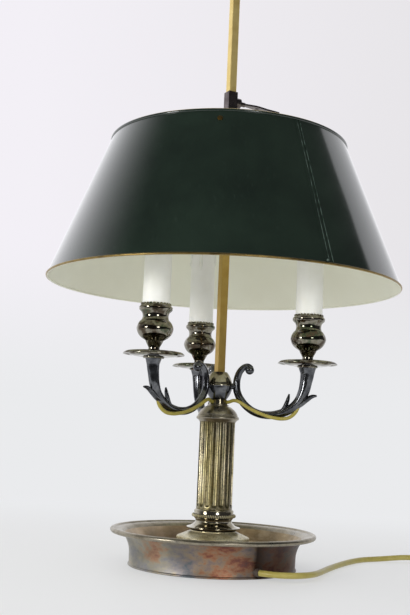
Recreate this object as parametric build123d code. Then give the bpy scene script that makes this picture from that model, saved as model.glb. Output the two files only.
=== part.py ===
from build123d import *
import os
from math import cos, sin, tan, radians, pi

# A three-light bouillotte lamp. Millimetres, +Z up, origin on the table under the rod.

# --- base -----------------------------------------------------------------------------------------
BASE_R = 80.0            # foot of the dish wall
RIM_R = 97.0             # centre line of the rolled rim
RIM_Z = 33.0
RIM_ROLL_R = 2.3
FLANGE_R = 88.0          # where the wall turns out into the rim
DISH_SHEET = 1.6
FLOOR_Z = 14.0           # upper face of the tray inside the dish
LIP_Z = 0.5              # lower edge of the wall, just clear of the table
PAD_THICK = 2.5
PAD_CLEAR = 0.2
WEIGHT_IN_R = 38.0
WEIGHT_GAP = 6.4         # between the weight and the inside of the wall
WEIGHT_CLEAR = 0.3

# --- centre tie, nut and washer -------------------------------------------------------------------
TIE_R = 6.5
TIE_BORE_R = 4.3
TIE_CLEAR = 0.15         # round the tie in every turned piece
WASHER_R = 16.0
WASHER_THICK = 1.6
NUT_FLATS = 19.0
NUT_THICK = 3.0

# --- turned column, from the tray upwards ---------------------------------------------------------
FOOT_R = 38.0
FOOT_KNURL_R = 35.5      # knurled band near the top of the foot
FOOT_TOP_R = 26.0
FOOT_H = 21.0
BASE_RING_R = 25.9       # flared skirt of the ring above the foot
BEAD_R = 21.5            # beaded ring
BASE_RING_H = 20.0
SHADOW_R = 22.0          # recess between the foot and the ring
COLUMN_R = 17.5
COLUMN_BORE_R = 12.5
COLUMN_H = 84.0
SPIGOT_CLEAR = 0.1
SPIGOT_H = 3.0
FLUTES = 16
FLUTE_R = 2.9
FLUTE_OUT = 0.6          # flute centres stand this far outside the column
FLUTE_END = 2.6          # plain column left above and below the flutes
CAP_R = 21.0
CAP_TOP_R = 10.2
CAP_H = 17.0
NECK_R = 8.8
NECK_H = 4.8
HUB_R = 13.5
HUB_H = 27.2
HUB_END_R = 7.6
HUB_LINE = 0.4           # fine raised line at the hub's equator

# --- scroll arms ----------------------------------------------------------------------------------
ARMS = (("right", -14.5, -1), ("back", 105.5, -1), ("left", 225.5, 1))   # azimuth, side of the lead
ARM_REACH = 87.4         # from the axis to the candle
ARM_DROP = 26.9          # from the hub's equator down to the lowest point of the arm's middle line
ARM_RISE = 19.6          # from the hub's equator up to the pan seat
ARM_THICK = 7.4
ARM_SLICES = 16          # cross sections that the arm is lofted through
SCROLL_THICK = 5.5
SEAT_THICK = 12.6
SCROLL_BALL_R = 4.4
TENON_R = 3.0
TENON_CLEAR = 0.05
TENON_IN_R = 8.5
LEAF_THICK = 5.0

# --- pans, cups, candles --------------------------------------------------------------------------
PAN_R = 28.75
PAN_BOSS_R = 10.0
PAN_SHEET = 1.2
PAN_SEAT_H = 4.2         # from the arm's seat to the cup's seat
CUP_R = 17.3
CUP_NECK_R = 12.2
CUP_RIM_R = 15.9
CUP_H = 50.1
CUP_STEP_R = 8.2
GALLERY_WALL = 1.1
SLEEVE_R = 13.0
SLEEVE_WALL = 1.2
SLEEVE_H = 93.0
SLEEVE_CLEAR = 0.3       # round the sleeve in the cup, and round the holder in the sleeve
CUP_TUBE_R = 4.0
CUP_TUBE_BORE_R = 2.5
CUP_TUBE_CLEAR = 0.05
CUP_TUBE_DEEP = 8.0      # depth of the tube's seat in the arm
HOLDER_H = 34.0
HOLDER_BORE_R = 7.0      # E14 screw socket
HOLDER_BORE_H = 22.0

# --- rod and finial -------------------------------------------------------------------------------
ROD_SIDE = 8.0
ROD_TURN = 30.0          # azimuth of one flat
ROD_TOP_Z = 640.0
ROD_CHAMFER = 0.5
ROD_SPIGOT_R = 3.8
ROD_SPIGOT_CLEAR = 0.1
FINIAL_R = 9.0
FINIAL_H = 27.0
FINIAL_PIN_R = 2.5

# --- shade and its carrier ------------------------------------------------------------------------
SHADE_BOTTOM_R = 175.0
SHADE_TOP_R = 118.5
SHADE_Z = 274.0
SHADE_H = 142.0
SHADE_SHEET = 0.8
EDGE_WIRE_R = 1.4
SPIDER_DROP = 9.0        # from the shade's top edge down to the rivets
SPIDER_TURN = 26.3       # azimuth of the first spoke
SPIDER_SPOKES = 3
SPIDER_THICK = 2.0
SPOKE_WIDTH = 12.0
SPIDER_HUB_R = 16.0
TAB_H = 9.0
RIVET_R = 2.6
COLLAR_CLEAR = 0.1       # between the collar and each flat of the rod
COLLAR_WALL = 1.2
COLLAR_TOP_Z = 475.0
BOSS_R = 5.2
BOSS_OUT = 5.0
BOSS_DROP = 9.8          # from the collar's top to the key's axis
KEY_R = 2.4
KEY_CLEAR = 0.06
KEY_TIP_GAP = 0.3
KEY_REACH = 59.0
KEY_WIDTH = 8.0
KEY_THICK = 1.8
KEY_HOLE_R = 1.8

# --- wiring ---------------------------------------------------------------------------------------
LEAD_R = 1.7
LEAD_SPACE = 2.1         # from the tie's axis to each arm lead inside it
LEAD_Z = 4.6
LEAD_CLEAR = 0.4
LEAD_TURN_R = 5.0        # bend of each lead under the tie
LEAD_OUT = 12.0          # how far it runs out from the axis under the nut
BLOCK_SIZE = (12.0, 20.0, 6.5)
BLOCK_R = 36.0
BLOCK_PITCH = 6.6
# each lead's own way from the tie to the block, in the block's frame
LEAD_DRESS = {
    "right": [(23.0, 0.0)],
    "back": [(-8.0, 15.0), (6.0, 19.0), (20.0, 13.0), (24.5, 6.6)],
    "left": [(24.0, -6.6)],
}
CORD_R = 2.75
CORD_AZIMUTH = -59.0
CORD_HEADING = -36.0
CORD_Z = 6.2
CORD_STRAIGHT = 14.8     # straight run of the cord on each side of the wall
BUSH_R = 3.65
BUSH_CLEAR = 0.05

# --- mains cord on the table ----------------------------------------------------------------------
CORD_TO_SWITCH = [
    (66.6, -77.8, 6.0), (78.5, -70.4, 5.0), (89.0, -47.5, 3.6), (101.0, -16.0, CORD_R), (122.0, 31.0, CORD_R),
    (141.5, 67.5, CORD_R), (157.0, 91.0, CORD_R), (178.5, 104.8, CORD_R), (203.0, 104.0, 5.5),
]
SWITCH_START = (218.0, 104.0)
SWITCH_SIZE = (60.0, 25.0, 13.0)
SWITCH_CORD_Z = 5.5
SWITCH_WALL = 1.8
ROCKER_SIZE = (13.0, 8.6, 5.0)
ROCKER_GAP = 0.4         # at each side of the rocker
ROCKER_SWING = 0.9       # at each end of it, where the faces swing
ROCKER_PIN_R = 1.4
ROCKER_PIN_CLEAR = 0.08
ROCKER_TILT = 8.0
BEND_RUN = 16.7          # runs of the bend between switch and coil
COIL_R = 38.0            # middle line of the outermost turn
COIL_PITCH = 5.6
COIL_TURNS = 7.03
COIL_LAYERS = 2
COIL_Y = 22.0
COIL_STUB = 24.0         # straight cord that belongs to the coil at each of its ends
COIL_LEAVE = 11.0        # straight cord past the stub, before it drops to the table
CORD_TO_PLUG = [(-1.2, -14.0), (-0.4, -28.0), (1.6, -42.0), (2.2, -55.0), (2.2, -67.0)]
PLUG_DIP_Z = 4.4         # height of the cord between the coil, the table and the plug
PLUG_LENGTH = 36.0
PLUG_WIDTH = 26.0
PLUG_HEIGHT = 14.0
PLUG_RELIEF = 22.0
PIN_R = 2.0
PIN_LENGTH = 19.0
PIN_SPACING = 18.6

# --- levels and radii that follow ---------------------------------------------------------------
DISH_UNDER_Z = FLOOR_Z - DISH_SHEET
WEIGHT_OUT_R = BASE_R - DISH_SHEET - WEIGHT_GAP
NUT_Z = DISH_UNDER_Z - WASHER_THICK - NUT_THICK
TIE_HOLE_R = TIE_R + TIE_CLEAR
RING_Z = FLOOR_Z + FOOT_H
COLUMN_Z = RING_Z + BASE_RING_H
CAP_Z = COLUMN_Z + COLUMN_H
NECK_Z = CAP_Z + CAP_H
HUB_Z = NECK_Z + NECK_H
EQUATOR_Z = HUB_Z + HUB_H / 2
HUB_TOP_Z = HUB_Z + HUB_H
TIE_TOP_Z = EQUATOR_Z - TENON_R - 1.0
SEAT_Z = EQUATOR_Z + ARM_RISE
CUP_Z = SEAT_Z + PAN_SEAT_H
CUP_TOP_Z = CUP_Z + CUP_H
SLEEVE_Z = CUP_TOP_Z - 9.3
SLEEVE_TOP_Z = SLEEVE_Z + SLEEVE_H
HOLDER_Z = SLEEVE_TOP_Z - HOLDER_H
HOLDER_R = SLEEVE_R - SLEEVE_WALL - SLEEVE_CLEAR
SHADE_TOP_Z = SHADE_Z + SHADE_H
SHADE_SLOPE = (SHADE_BOTTOM_R - SHADE_TOP_R) / SHADE_H
RIVET_Z = SHADE_TOP_Z - SPIDER_DROP
SPIDER_Z = RIVET_Z - TAB_H / 2
COLLAR_HOLE = ROD_SIDE + 2 * COLLAR_CLEAR
COLLAR_SIDE = COLLAR_HOLE + 2 * COLLAR_WALL
KEY_Z = COLLAR_TOP_Z - BOSS_DROP
LEAD_EXIT_Z = NECK_Z + NECK_H / 2
CORD_HOLE = (BASE_R * cos(radians(CORD_AZIMUTH)), BASE_R * sin(radians(CORD_AZIMUTH)), CORD_Z)


def turned(start, *steps):
    """A solid of revolution: a step of one (r, z) is a straight line, a step of two an arc through both."""
    lines = []
    here = start
    for step in steps:
        if isinstance(step[0], tuple):
            lines.append(ThreePointArc((here[0], 0, here[1]), *[(r, 0, z) for r, z in step]))
            here = step[1]
        else:
            lines.append(Line((here[0], 0, here[1]), (step[0], 0, step[1])))
            here = step
    lines.append(Line((here[0], 0, here[1]), (start[0], 0, start[1])))
    return revolve(make_face(lines), Axis.Z)


def tube(outer, inner, low, high):
    return turned((inner, low), (outer, low), (outer, high), (inner, high))


def about(azimuth, thing):
    return Rot(0, 0, azimuth) * thing


def spot_of(azimuth, r, side, z):
    """The point at a radius, and so far aside from it, seen along an azimuth."""
    a = radians(azimuth)
    return Vector(r * cos(a) - side * sin(a), r * sin(a) + side * cos(a), z)


def along_cord(distance):
    """A point of the straight cord at the wall: outwards is positive."""
    a = radians(CORD_HEADING)
    return Vector(CORD_HOLE[0] + distance * cos(a), CORD_HOLE[1] + distance * sin(a), CORD_Z)


def corner_radii(points, most=400.0):
    """The radius of each corner: 0.45 of its shorter run over the tangent of half its turn."""
    radii = []
    spots = [Vector(*p) for p in points]
    for a, b, c in zip(spots, spots[1:], spots[2:]):
        turn = (b - a).get_angle(c - b)
        shorter = min((b - a).length, (c - b).length)
        radii.append(min(most, 0.45 * shorter / tan(radians(turn / 2))))
    return radii


def run_of(points, radius, most=400.0, tight=None):
    """A round cord of straight runs and tangent arcs through the points, and its length.

    tight gives a corner its own radius by the corner's number.
    """
    radii = corner_radii(points, most)
    for corner, own in (tight or {}).items():
        radii[corner] = own
    path = FilletPolyline(*points, radius=radii)
    face = Plane(origin=path @ 0, z_dir=path % 0) * Circle(radius)
    return sweep(face, path=path), path.length


def base_dish():
    """Spun dish: a wall that flares to a rolled rim, with the tray floor inside it."""
    wall_in = BASE_R - DISH_SHEET
    shell = turned(
        (TIE_HOLE_R, DISH_UNDER_Z), (wall_in, DISH_UNDER_Z), (wall_in, LIP_Z), (BASE_R + 0.8, LIP_Z),
        ((BASE_R + 1.0, LIP_Z + 1.0), (BASE_R, LIP_Z + 1.9)), (BASE_R + 0.2, RIM_Z * 0.3),
        ((BASE_R + 2.2, RIM_Z * 0.66), (FLANGE_R, RIM_Z - 2.2)), (RIM_R - 1.5, RIM_Z - 1.2),
        (RIM_R - 1.5, RIM_Z + 1.0), (FLANGE_R + 0.5, RIM_Z + 0.2),
        ((BASE_R + 0.9, RIM_Z * 0.68), (wall_in + 0.3, FLOOR_Z + 2.0)), (wall_in - 1.6, FLOOR_Z),
        (TIE_HOLE_R, FLOOR_Z),
    )
    roll = revolve(Plane.XZ * Pos(RIM_R, RIM_Z) * Circle(RIM_ROLL_R), Axis.Z)
    return shell + roll - cord_hole(BUSH_R + BUSH_CLEAR, 12)


def cord_hole(radius, half_length):
    """A cylinder along the cord's way through the wall."""
    start = along_cord(-half_length)
    return Plane(origin=start, z_dir=along_cord(1) - along_cord(0)) * extrude(Circle(radius), 2 * half_length)


def cord_bush():
    """Rubber bush in the wall: it stands 1 mm proud outside and 4 mm inside."""
    return cord_hole(BUSH_R, 3.0) - cord_hole(CORD_R + 0.02, 12)


def base_pad():
    return Cylinder(BASE_R - DISH_SHEET - PAD_CLEAR, PAD_THICK, align=(Align.CENTER, Align.CENTER, Align.MIN))


def base_weight():
    """Cast ring under the tray, slotted where the mains lead comes in."""
    ring = tube(WEIGHT_OUT_R, WEIGHT_IN_R, PAD_THICK + WEIGHT_CLEAR, DISH_UNDER_Z - WEIGHT_CLEAR)
    slot = Box(WEIGHT_OUT_R, 4 * BUSH_R + 6, 4 * FLOOR_Z, align=(Align.MIN, Align.CENTER, Align.CENTER))
    return ring - about(CORD_AZIMUTH, Pos(BLOCK_R, 0, 0) * slot)


def terminal_block():
    return about(CORD_AZIMUTH, Pos(BLOCK_R, 0, PAD_THICK + WEIGHT_CLEAR + BLOCK_SIZE[2] / 2) * Box(*BLOCK_SIZE))


def centre_tie():
    """Threaded tube through the whole column, with a window for each arm lead at the neck."""
    tie = tube(TIE_R, TIE_BORE_R, NUT_Z, TIE_TOP_Z)
    wide = 2 * (LEAD_R + LEAD_CLEAR)
    window = Pos(TIE_R, 0, LEAD_EXIT_Z - LEAD_CLEAR) * Box(TIE_R * 2 - 2, wide, wide + 2 * LEAD_CLEAR)
    for _, azimuth, _ in ARMS:
        tie -= about(azimuth, window)
    return tie


def base_washer():
    return tube(WASHER_R, TIE_HOLE_R, DISH_UNDER_Z - WASHER_THICK, DISH_UNDER_Z)


def base_nut():
    blank = extrude(RegularPolygon(NUT_FLATS / 2, 6, major_radius=False), NUT_THICK)
    return Pos(0, 0, NUT_Z) * blank - tube(TIE_R + 0.05, 0, 0, FLOOR_Z)


def column_foot():
    """Broad foot on the tray, with the band that is knurled and a slope up to the ring."""
    z = FLOOR_Z
    return turned(
        (TIE_HOLE_R, z), (FOOT_R, z), (FOOT_R, z + 2.5), (FOOT_R - 1.5, z + 4),
        ((FOOT_R - 4.2, z + 6.5), (FOOT_KNURL_R - 1.6, z + 10.5)), (FOOT_KNURL_R, z + 11.4),
        (FOOT_KNURL_R, z + 14.6), (FOOT_KNURL_R - 1.2, z + 15.4), (FOOT_TOP_R + 1.5, z + FOOT_H - 1.4),
        (FOOT_TOP_R, z + FOOT_H), (TIE_HOLE_R, z + FOOT_H),
    )


def column_ring():
    """Flared skirt, cove and beaded ring under the fluted column."""
    z = RING_Z
    top = COLUMN_Z
    spigot = COLUMN_BORE_R - SPIGOT_CLEAR
    return turned(
        (TIE_HOLE_R, z), (SHADOW_R, z), (SHADOW_R, z + 1.8), (BASE_RING_R, z + 1.8), (BASE_RING_R, z + 3),
        ((COLUMN_R + 2.6, z + 5.4), (COLUMN_R, z + 8.2)), (COLUMN_R, z + 10), (BEAD_R - 1.6, z + 12.4),
        ((BEAD_R, z + 14), (BEAD_R - 1.6, z + 15.6)), (BEAD_R - 2.4, z + 16), (BEAD_R - 2.2, top - 1.2),
        (COLUMN_R + 0.8, top), (spigot, top), (spigot, top + SPIGOT_H), (TIE_HOLE_R, top + SPIGOT_H),
    )


def fluted_column():
    column = tube(COLUMN_R, COLUMN_BORE_R, COLUMN_Z, CAP_Z)
    low = COLUMN_Z + FLUTE_END + FLUTE_R
    high = CAP_Z - FLUTE_END - FLUTE_R
    shaft = Pos(0, 0, low) * extrude(Circle(FLUTE_R), high - low)
    flute = shaft + Pos(0, 0, low) * Sphere(FLUTE_R) + Pos(0, 0, high) * Sphere(FLUTE_R)
    for n in range(FLUTES):
        column -= about(360 * n / FLUTES, Pos(COLUMN_R + FLUTE_OUT, 0, 0) * flute)
    return column


def column_cap():
    z = CAP_Z
    spigot = COLUMN_BORE_R - SPIGOT_CLEAR
    return turned(
        (TIE_HOLE_R, z - SPIGOT_H), (spigot, z - SPIGOT_H), (spigot, z), (COLUMN_R + 0.3, z),
        (CAP_R - 2.2, z + 1.6), (CAP_R - 1.2, z + 2.2), ((CAP_R, z + 4.0), (CAP_R - 0.9, z + 5.6)),
        (CAP_R - 1.5, z + 5.6), (CAP_R - 1.5, z + 6.8), (CAP_R - 1.9, z + 7.6),
        ((CAP_R - 5.0, z + 12.0), (CAP_TOP_R + 1.6, z + CAP_H - 2.0)), (CAP_TOP_R, z + CAP_H - 1.4),
        (CAP_TOP_R, z + CAP_H), (TIE_HOLE_R, z + CAP_H),
    )


def neck_ring():
    """Low ring with a slot for each arm lead."""
    ring = tube(NECK_R, TIE_HOLE_R, NECK_Z, HUB_Z)
    wide = 2 * (LEAD_R + LEAD_CLEAR)
    high = LEAD_EXIT_Z + LEAD_R + LEAD_CLEAR / 2
    slot = Pos(NECK_R, 0, NECK_Z - 1) * Box(
        NECK_R, wide, high - NECK_Z + 1, align=(Align.CENTER, Align.CENTER, Align.MIN)
    )
    for _, azimuth, _ in ARMS:
        ring -= about(azimuth, slot)
    return ring


def tenon_bores():
    """The three holes that the arms' tenons seat in, half in each part of the hub."""
    bore = Plane(origin=(TENON_IN_R - 0.3, 0, EQUATOR_Z), z_dir=(1, 0, 0)) * extrude(
        Circle(TENON_R + TENON_CLEAR), HUB_R
    )
    bores = Part()
    for _, azimuth, _ in ARMS:
        bores += about(azimuth, bore)
    return bores


def hub_lower():
    """Lower half of the hub, over the end of the centre tie."""
    z = HUB_Z
    web = ROD_SPIGOT_R + ROD_SPIGOT_CLEAR
    return turned(
        (TIE_HOLE_R, z), (HUB_END_R, z), ((HUB_R - 2.2, EQUATOR_Z - HUB_H * 0.29), (HUB_R, EQUATOR_Z)),
        (web, EQUATOR_Z), (web, TIE_TOP_Z + 0.2), (TIE_HOLE_R, TIE_TOP_Z + 0.2),
    ) - tenon_bores()


def hub_upper():
    web = ROD_SPIGOT_R + ROD_SPIGOT_CLEAR
    return turned(
        (web, EQUATOR_Z), (HUB_R + HUB_LINE, EQUATOR_Z), (HUB_R + HUB_LINE, EQUATOR_Z + 0.9),
        (HUB_R, EQUATOR_Z + 0.9), ((HUB_R - 2.4, EQUATOR_Z + HUB_H * 0.31), (HUB_END_R, HUB_TOP_Z)),
        (web, HUB_TOP_Z),
    ) - tenon_bores()


def arm_line():
    """Middle line of an arm in its own plane: down from the scroll, round under and up to the seat."""
    touch = HUB_R + HUB_LINE + ARM_THICK / 2 + 0.2
    span = ARM_REACH - touch
    shape = [
        (0.136, ARM_RISE + 0.4), (0.062, ARM_RISE - 3.2), (0.016, ARM_RISE - 9.4), (0.0, 0.0),
        (0.020, -ARM_DROP * 0.25), (0.086, -ARM_DROP * 0.53), (0.180, -ARM_DROP * 0.77),
        (0.294, -ARM_DROP * 0.93), (0.436, -ARM_DROP), (0.594, -ARM_DROP * 0.96), (0.752, -ARM_DROP * 0.80),
        (0.880, -ARM_DROP * 0.52), (0.951, -ARM_DROP * 0.17), (0.985, ARM_RISE * 0.30), (1.0, ARM_RISE),
    ]
    return Spline(*[(touch + span * a, 0, EQUATOR_Z + b) for a, b in shape])


def arm_width(t):
    """Thickness along the arm: slim at the scroll, even below, full at the pan seat."""
    swell = min(t / 0.22, 1.0)
    flare = max(0.0, (t - 0.5) / 0.5)
    return SCROLL_THICK + (ARM_THICK - SCROLL_THICK) * swell + (SEAT_THICK - ARM_THICK) * flare ** 2


def leaf(root, left, tip, right):
    """A flat leaf in the arm's plane: two curved edges from its root to its tip."""
    outline = make_face([
        ThreePointArc((root[0], 0, root[1]), (left[0], 0, left[1]), (tip[0], 0, tip[1])),
        ThreePointArc((tip[0], 0, tip[1]), (right[0], 0, right[1]), (root[0] + 5, 0, root[1] + 1)),
        Line((root[0] + 5, 0, root[1] + 1), (root[0], 0, root[1])),
    ])
    return extrude(outline, LEAF_THICK / 2, dir=(0, 1, 0), both=True)


def lead_way(top_z):
    """Where an arm lead climbs inside the arm: from under the outer leaf up into the cup tube."""
    return [
        (ARM_REACH - 10.4, 0, EQUATOR_Z - ARM_DROP * 0.90), (ARM_REACH - 6.9, 0, EQUATOR_Z - ARM_DROP * 0.60),
        (ARM_REACH - 3.6, 0, EQUATOR_Z - ARM_DROP * 0.22), (ARM_REACH, 0, EQUATOR_Z + ARM_RISE * 0.46),
        (ARM_REACH, 0, top_z),
    ]


def arm():
    """C-scroll arm with two leaves, a tenon for the hub and a way for its lead."""
    line = arm_line()
    slices = []
    for n in range(ARM_SLICES):
        t = n / (ARM_SLICES - 1)
        place = Plane(origin=line @ t, x_dir=(0, 1, 0), z_dir=line % t)
        slices.append(place * Circle(arm_width(t) / 2))
    body = loft(slices)
    start = line @ 0
    body += Pos(start.X + 3.0, 0, start.Z - 3.6) * Sphere(SCROLL_BALL_R)
    inner = ARM_REACH - 20.5
    body += leaf(
        (inner - 4, EQUATOR_Z - ARM_DROP * 0.86), (inner + 0.5, EQUATOR_Z - ARM_DROP * 0.56),
        (inner + 3.6, EQUATOR_Z - ARM_DROP * 0.20), (inner + 5, EQUATOR_Z - ARM_DROP * 0.46),
    )
    outer = ARM_REACH - 4.5
    body += leaf(
        (outer - 6, EQUATOR_Z - ARM_DROP * 0.62), (outer + 3.5, EQUATOR_Z - ARM_DROP * 0.50),
        (outer + 13.5, EQUATOR_Z - ARM_DROP * 0.24), (outer + 6, EQUATOR_Z - ARM_DROP * 0.28),
    )
    touch = line @ 0.25
    tenon = Plane(origin=(TENON_IN_R, 0, EQUATOR_Z), z_dir=(1, 0, 0)) * extrude(
        Circle(TENON_R), touch.X - TENON_IN_R + 2
    )
    body += tenon
    body -= Pos(ARM_REACH, 0, SEAT_Z) * Box(30, 30, 30, align=(Align.CENTER, Align.CENTER, Align.MIN))
    way, _ = run_of(lead_way(SEAT_Z + 10), LEAD_R + LEAD_CLEAR)
    seat = Pos(ARM_REACH, 0, SEAT_Z - CUP_TUBE_DEEP) * extrude(Circle(CUP_TUBE_R + CUP_TUBE_CLEAR), 20)
    return body - way - seat


def pan():
    """Drip pan: boss, shallow bowl, raised ring and thin edge."""
    z = SEAT_Z
    hole = CUP_TUBE_R + CUP_TUBE_CLEAR
    sheet = PAN_SHEET
    return turned(
        (hole, z), (PAN_BOSS_R - 0.8, z), (PAN_BOSS_R, z + 0.8), (PAN_BOSS_R, z + 1.6),
        (PAN_BOSS_R - 1.0, z + 2.4), ((PAN_R * 0.62, z + 2.0), (PAN_R - 6.0, z + 3.2)),
        (PAN_R - 4.6, z + 5.2), ((PAN_R - 2.6, z + 4.8), (PAN_R, z + 3.6)), (PAN_R, z + 3.6 + sheet / 2),
        ((PAN_R - 2.4, z + 6.2), (PAN_R - 4.4, z + 5.4 + sheet)), (PAN_R - 6.6, z + 3.6 + sheet),
        ((PAN_R * 0.62, z + 2.3 + sheet), (PAN_BOSS_R, z + PAN_SEAT_H)), (hole, z + PAN_SEAT_H),
    )


def cup():
    """Urn cup: stem, step, bowl, neck, rim and the thin gallery that holds the candle sleeve."""
    z = CUP_Z
    h = CUP_H
    hole = CUP_TUBE_R + CUP_TUBE_CLEAR
    seat = SLEEVE_R + SLEEVE_CLEAR
    return turned(
        (hole, z), (CUP_STEP_R - 0.6, z), (CUP_STEP_R - 0.2, z + 0.024 * h), (hole + 1.4, z + 0.068 * h),
        (hole + 1.2, z + 0.124 * h), (CUP_STEP_R - 0.4, z + 0.216 * h), (CUP_STEP_R, z + 0.244 * h),
        (CUP_STEP_R + 1.6, z + 0.267 * h), ((CUP_R - 1.6, z + 0.375 * h), (CUP_R, z + 0.467 * h)),
        ((CUP_R - 1.0, z + 0.547 * h), (CUP_NECK_R + 0.7, z + 0.635 * h)),
        ((CUP_NECK_R, z + 0.707 * h), (CUP_NECK_R + 0.9, z + 0.774 * h)), (CUP_RIM_R - 0.3, z + 0.822 * h),
        (CUP_RIM_R, z + 0.862 * h), (seat + GALLERY_WALL, z + 0.91 * h), (seat + GALLERY_WALL, CUP_TOP_Z),
        (seat, CUP_TOP_Z), (seat, SLEEVE_Z), (hole, SLEEVE_Z),
    )


def cup_tube():
    """Threaded tube from inside the arm's seat up into the lampholder."""
    return tube(CUP_TUBE_R, CUP_TUBE_BORE_R, SEAT_Z - CUP_TUBE_DEEP, HOLDER_Z + 6)


def lampholder():
    """E14 socket on the cup tube, inside the candle sleeve."""
    bottom = 8.0
    return turned(
        (CUP_TUBE_R + CUP_TUBE_CLEAR, HOLDER_Z), (HOLDER_R - 3, HOLDER_Z), (HOLDER_R, HOLDER_Z + 3),
        (HOLDER_R, SLEEVE_TOP_Z), (HOLDER_BORE_R, SLEEVE_TOP_Z),
        (HOLDER_BORE_R, SLEEVE_TOP_Z - HOLDER_BORE_H), (CUP_TUBE_R + CUP_TUBE_CLEAR, HOLDER_Z + bottom),
    )


def candle_sleeve():
    return tube(SLEEVE_R, SLEEVE_R - SLEEVE_WALL, SLEEVE_Z, SLEEVE_TOP_Z)


def arm_lead(name, azimuth, side):
    """One arm's lead: terminal block, up the centre tie, out at the neck, along the arm, up to the socket."""
    deep = EQUATOR_Z - ARM_DROP
    near = ARM_THICK / 2 + LEAD_R + 0.6
    dress = LEAD_DRESS[name]
    entry_side = dress[-1][1]
    block_face = BLOCK_R - BLOCK_SIZE[0] / 2
    points = [spot_of(CORD_AZIMUTH, block_face, entry_side, LEAD_Z)]
    points += [spot_of(CORD_AZIMUTH, r, s, LEAD_Z) for r, s in reversed(dress)]
    points += [spot_of(azimuth, LEAD_OUT, 0, LEAD_Z), spot_of(azimuth, LEAD_SPACE, 0, LEAD_Z)]
    under_tie = len(points) - 2
    along = [
        (LEAD_SPACE, 0, LEAD_EXIT_Z), (NECK_R + 1.2, 0, LEAD_EXIT_Z), (16.4, 0.55 * near, deep + 13.4),
        (23.0, near, deep + 11.6), (31.0, near, deep + 6.6), (41.0, near, deep + 2.0),
        (52.0, near, deep - 1.6), (62.5, 0.75 * near, deep - 3.4), (70.5, 0.25 * near, deep - 2.6),
    ]
    points += [spot_of(azimuth, r, s * side, z) for r, s, z in along + lead_way(HOLDER_Z - 2.0)]
    return run_of(points, LEAD_R, most=25.0, tight={under_tie: LEAD_TURN_R})


def mains_lead():
    """The mains cord inside the base, from the bush to the terminal block."""
    bend = along_cord(-CORD_STRAIGHT)
    a = radians(CORD_AZIMUTH)
    side = bend.Y * cos(a) - bend.X * sin(a)
    far = spot_of(CORD_AZIMUTH, BLOCK_R + BLOCK_SIZE[0] / 2, side, CORD_Z)
    return run_of([along_cord(0), bend, far], CORD_R)


def rod():
    """Square rod with its spigot in the hub and a pin for the finial."""
    length = ROD_TOP_Z - HUB_TOP_Z
    bar = extrude(Rectangle(ROD_SIDE, ROD_SIDE), length)
    bar = chamfer(bar.edges().filter_by(Axis.Z), ROD_CHAMFER)
    bar = Pos(0, 0, HUB_TOP_Z) * bar
    spigot = Pos(0, 0, EQUATOR_Z - 2) * extrude(Circle(ROD_SPIGOT_R), HUB_TOP_Z - EQUATOR_Z + 3)
    pin = Pos(0, 0, ROD_TOP_Z - 1) * extrude(Circle(FINIAL_PIN_R), 9)
    return about(ROD_TURN, bar + spigot + pin)


def finial():
    z = ROD_TOP_Z
    hole = FINIAL_PIN_R + 0.05
    knob_z = z + 14.0
    body = turned(
        (0, z), (FINIAL_R - 1.5, z), (FINIAL_R - 1.5, z + 1.4), (FINIAL_R - 3.0, z + 2.4),
        (FINIAL_R * 0.42, z + 4.6), ((FINIAL_R, knob_z - 1.0), (FINIAL_R * 0.3, z + FINIAL_H - 5.2)),
        (FINIAL_R * 0.2, z + FINIAL_H - 3.6), (FINIAL_R * 0.26, z + FINIAL_H - 1.6), (0, z + FINIAL_H),
    )
    return body - Pos(0, 0, z) * extrude(Circle(hole), 8.6)


def shade_r(z):
    """Outer radius of the shade's sheet at a height."""
    return SHADE_BOTTOM_R - (z - SHADE_Z) * SHADE_SLOPE


def shade_shell():
    low = SHADE_Z + EDGE_WIRE_R * 0.7
    high = SHADE_TOP_Z - EDGE_WIRE_R * 0.7
    return turned(
        (shade_r(low) - SHADE_SHEET, low), (shade_r(low), low), (shade_r(high), high),
        (shade_r(high) - SHADE_SHEET, high),
    )


def shade_edge(z, up):
    """Wire rolled into an edge of the shade, flat where it meets the sheet."""
    middle = shade_r(z) - SHADE_SHEET / 2
    half = EDGE_WIRE_R * (1 - 0.7 ** 2) ** 0.5
    cut_z = z - up * EDGE_WIRE_R * 0.7
    side = EDGE_WIRE_R * cos(radians(20))
    over = z + up * EDGE_WIRE_R * sin(radians(20))
    return turned(
        (middle - half, cut_z), ((middle - side, over), (middle, z + up * EDGE_WIRE_R)),
        ((middle + side, over), (middle + half, cut_z)),
    )


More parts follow.
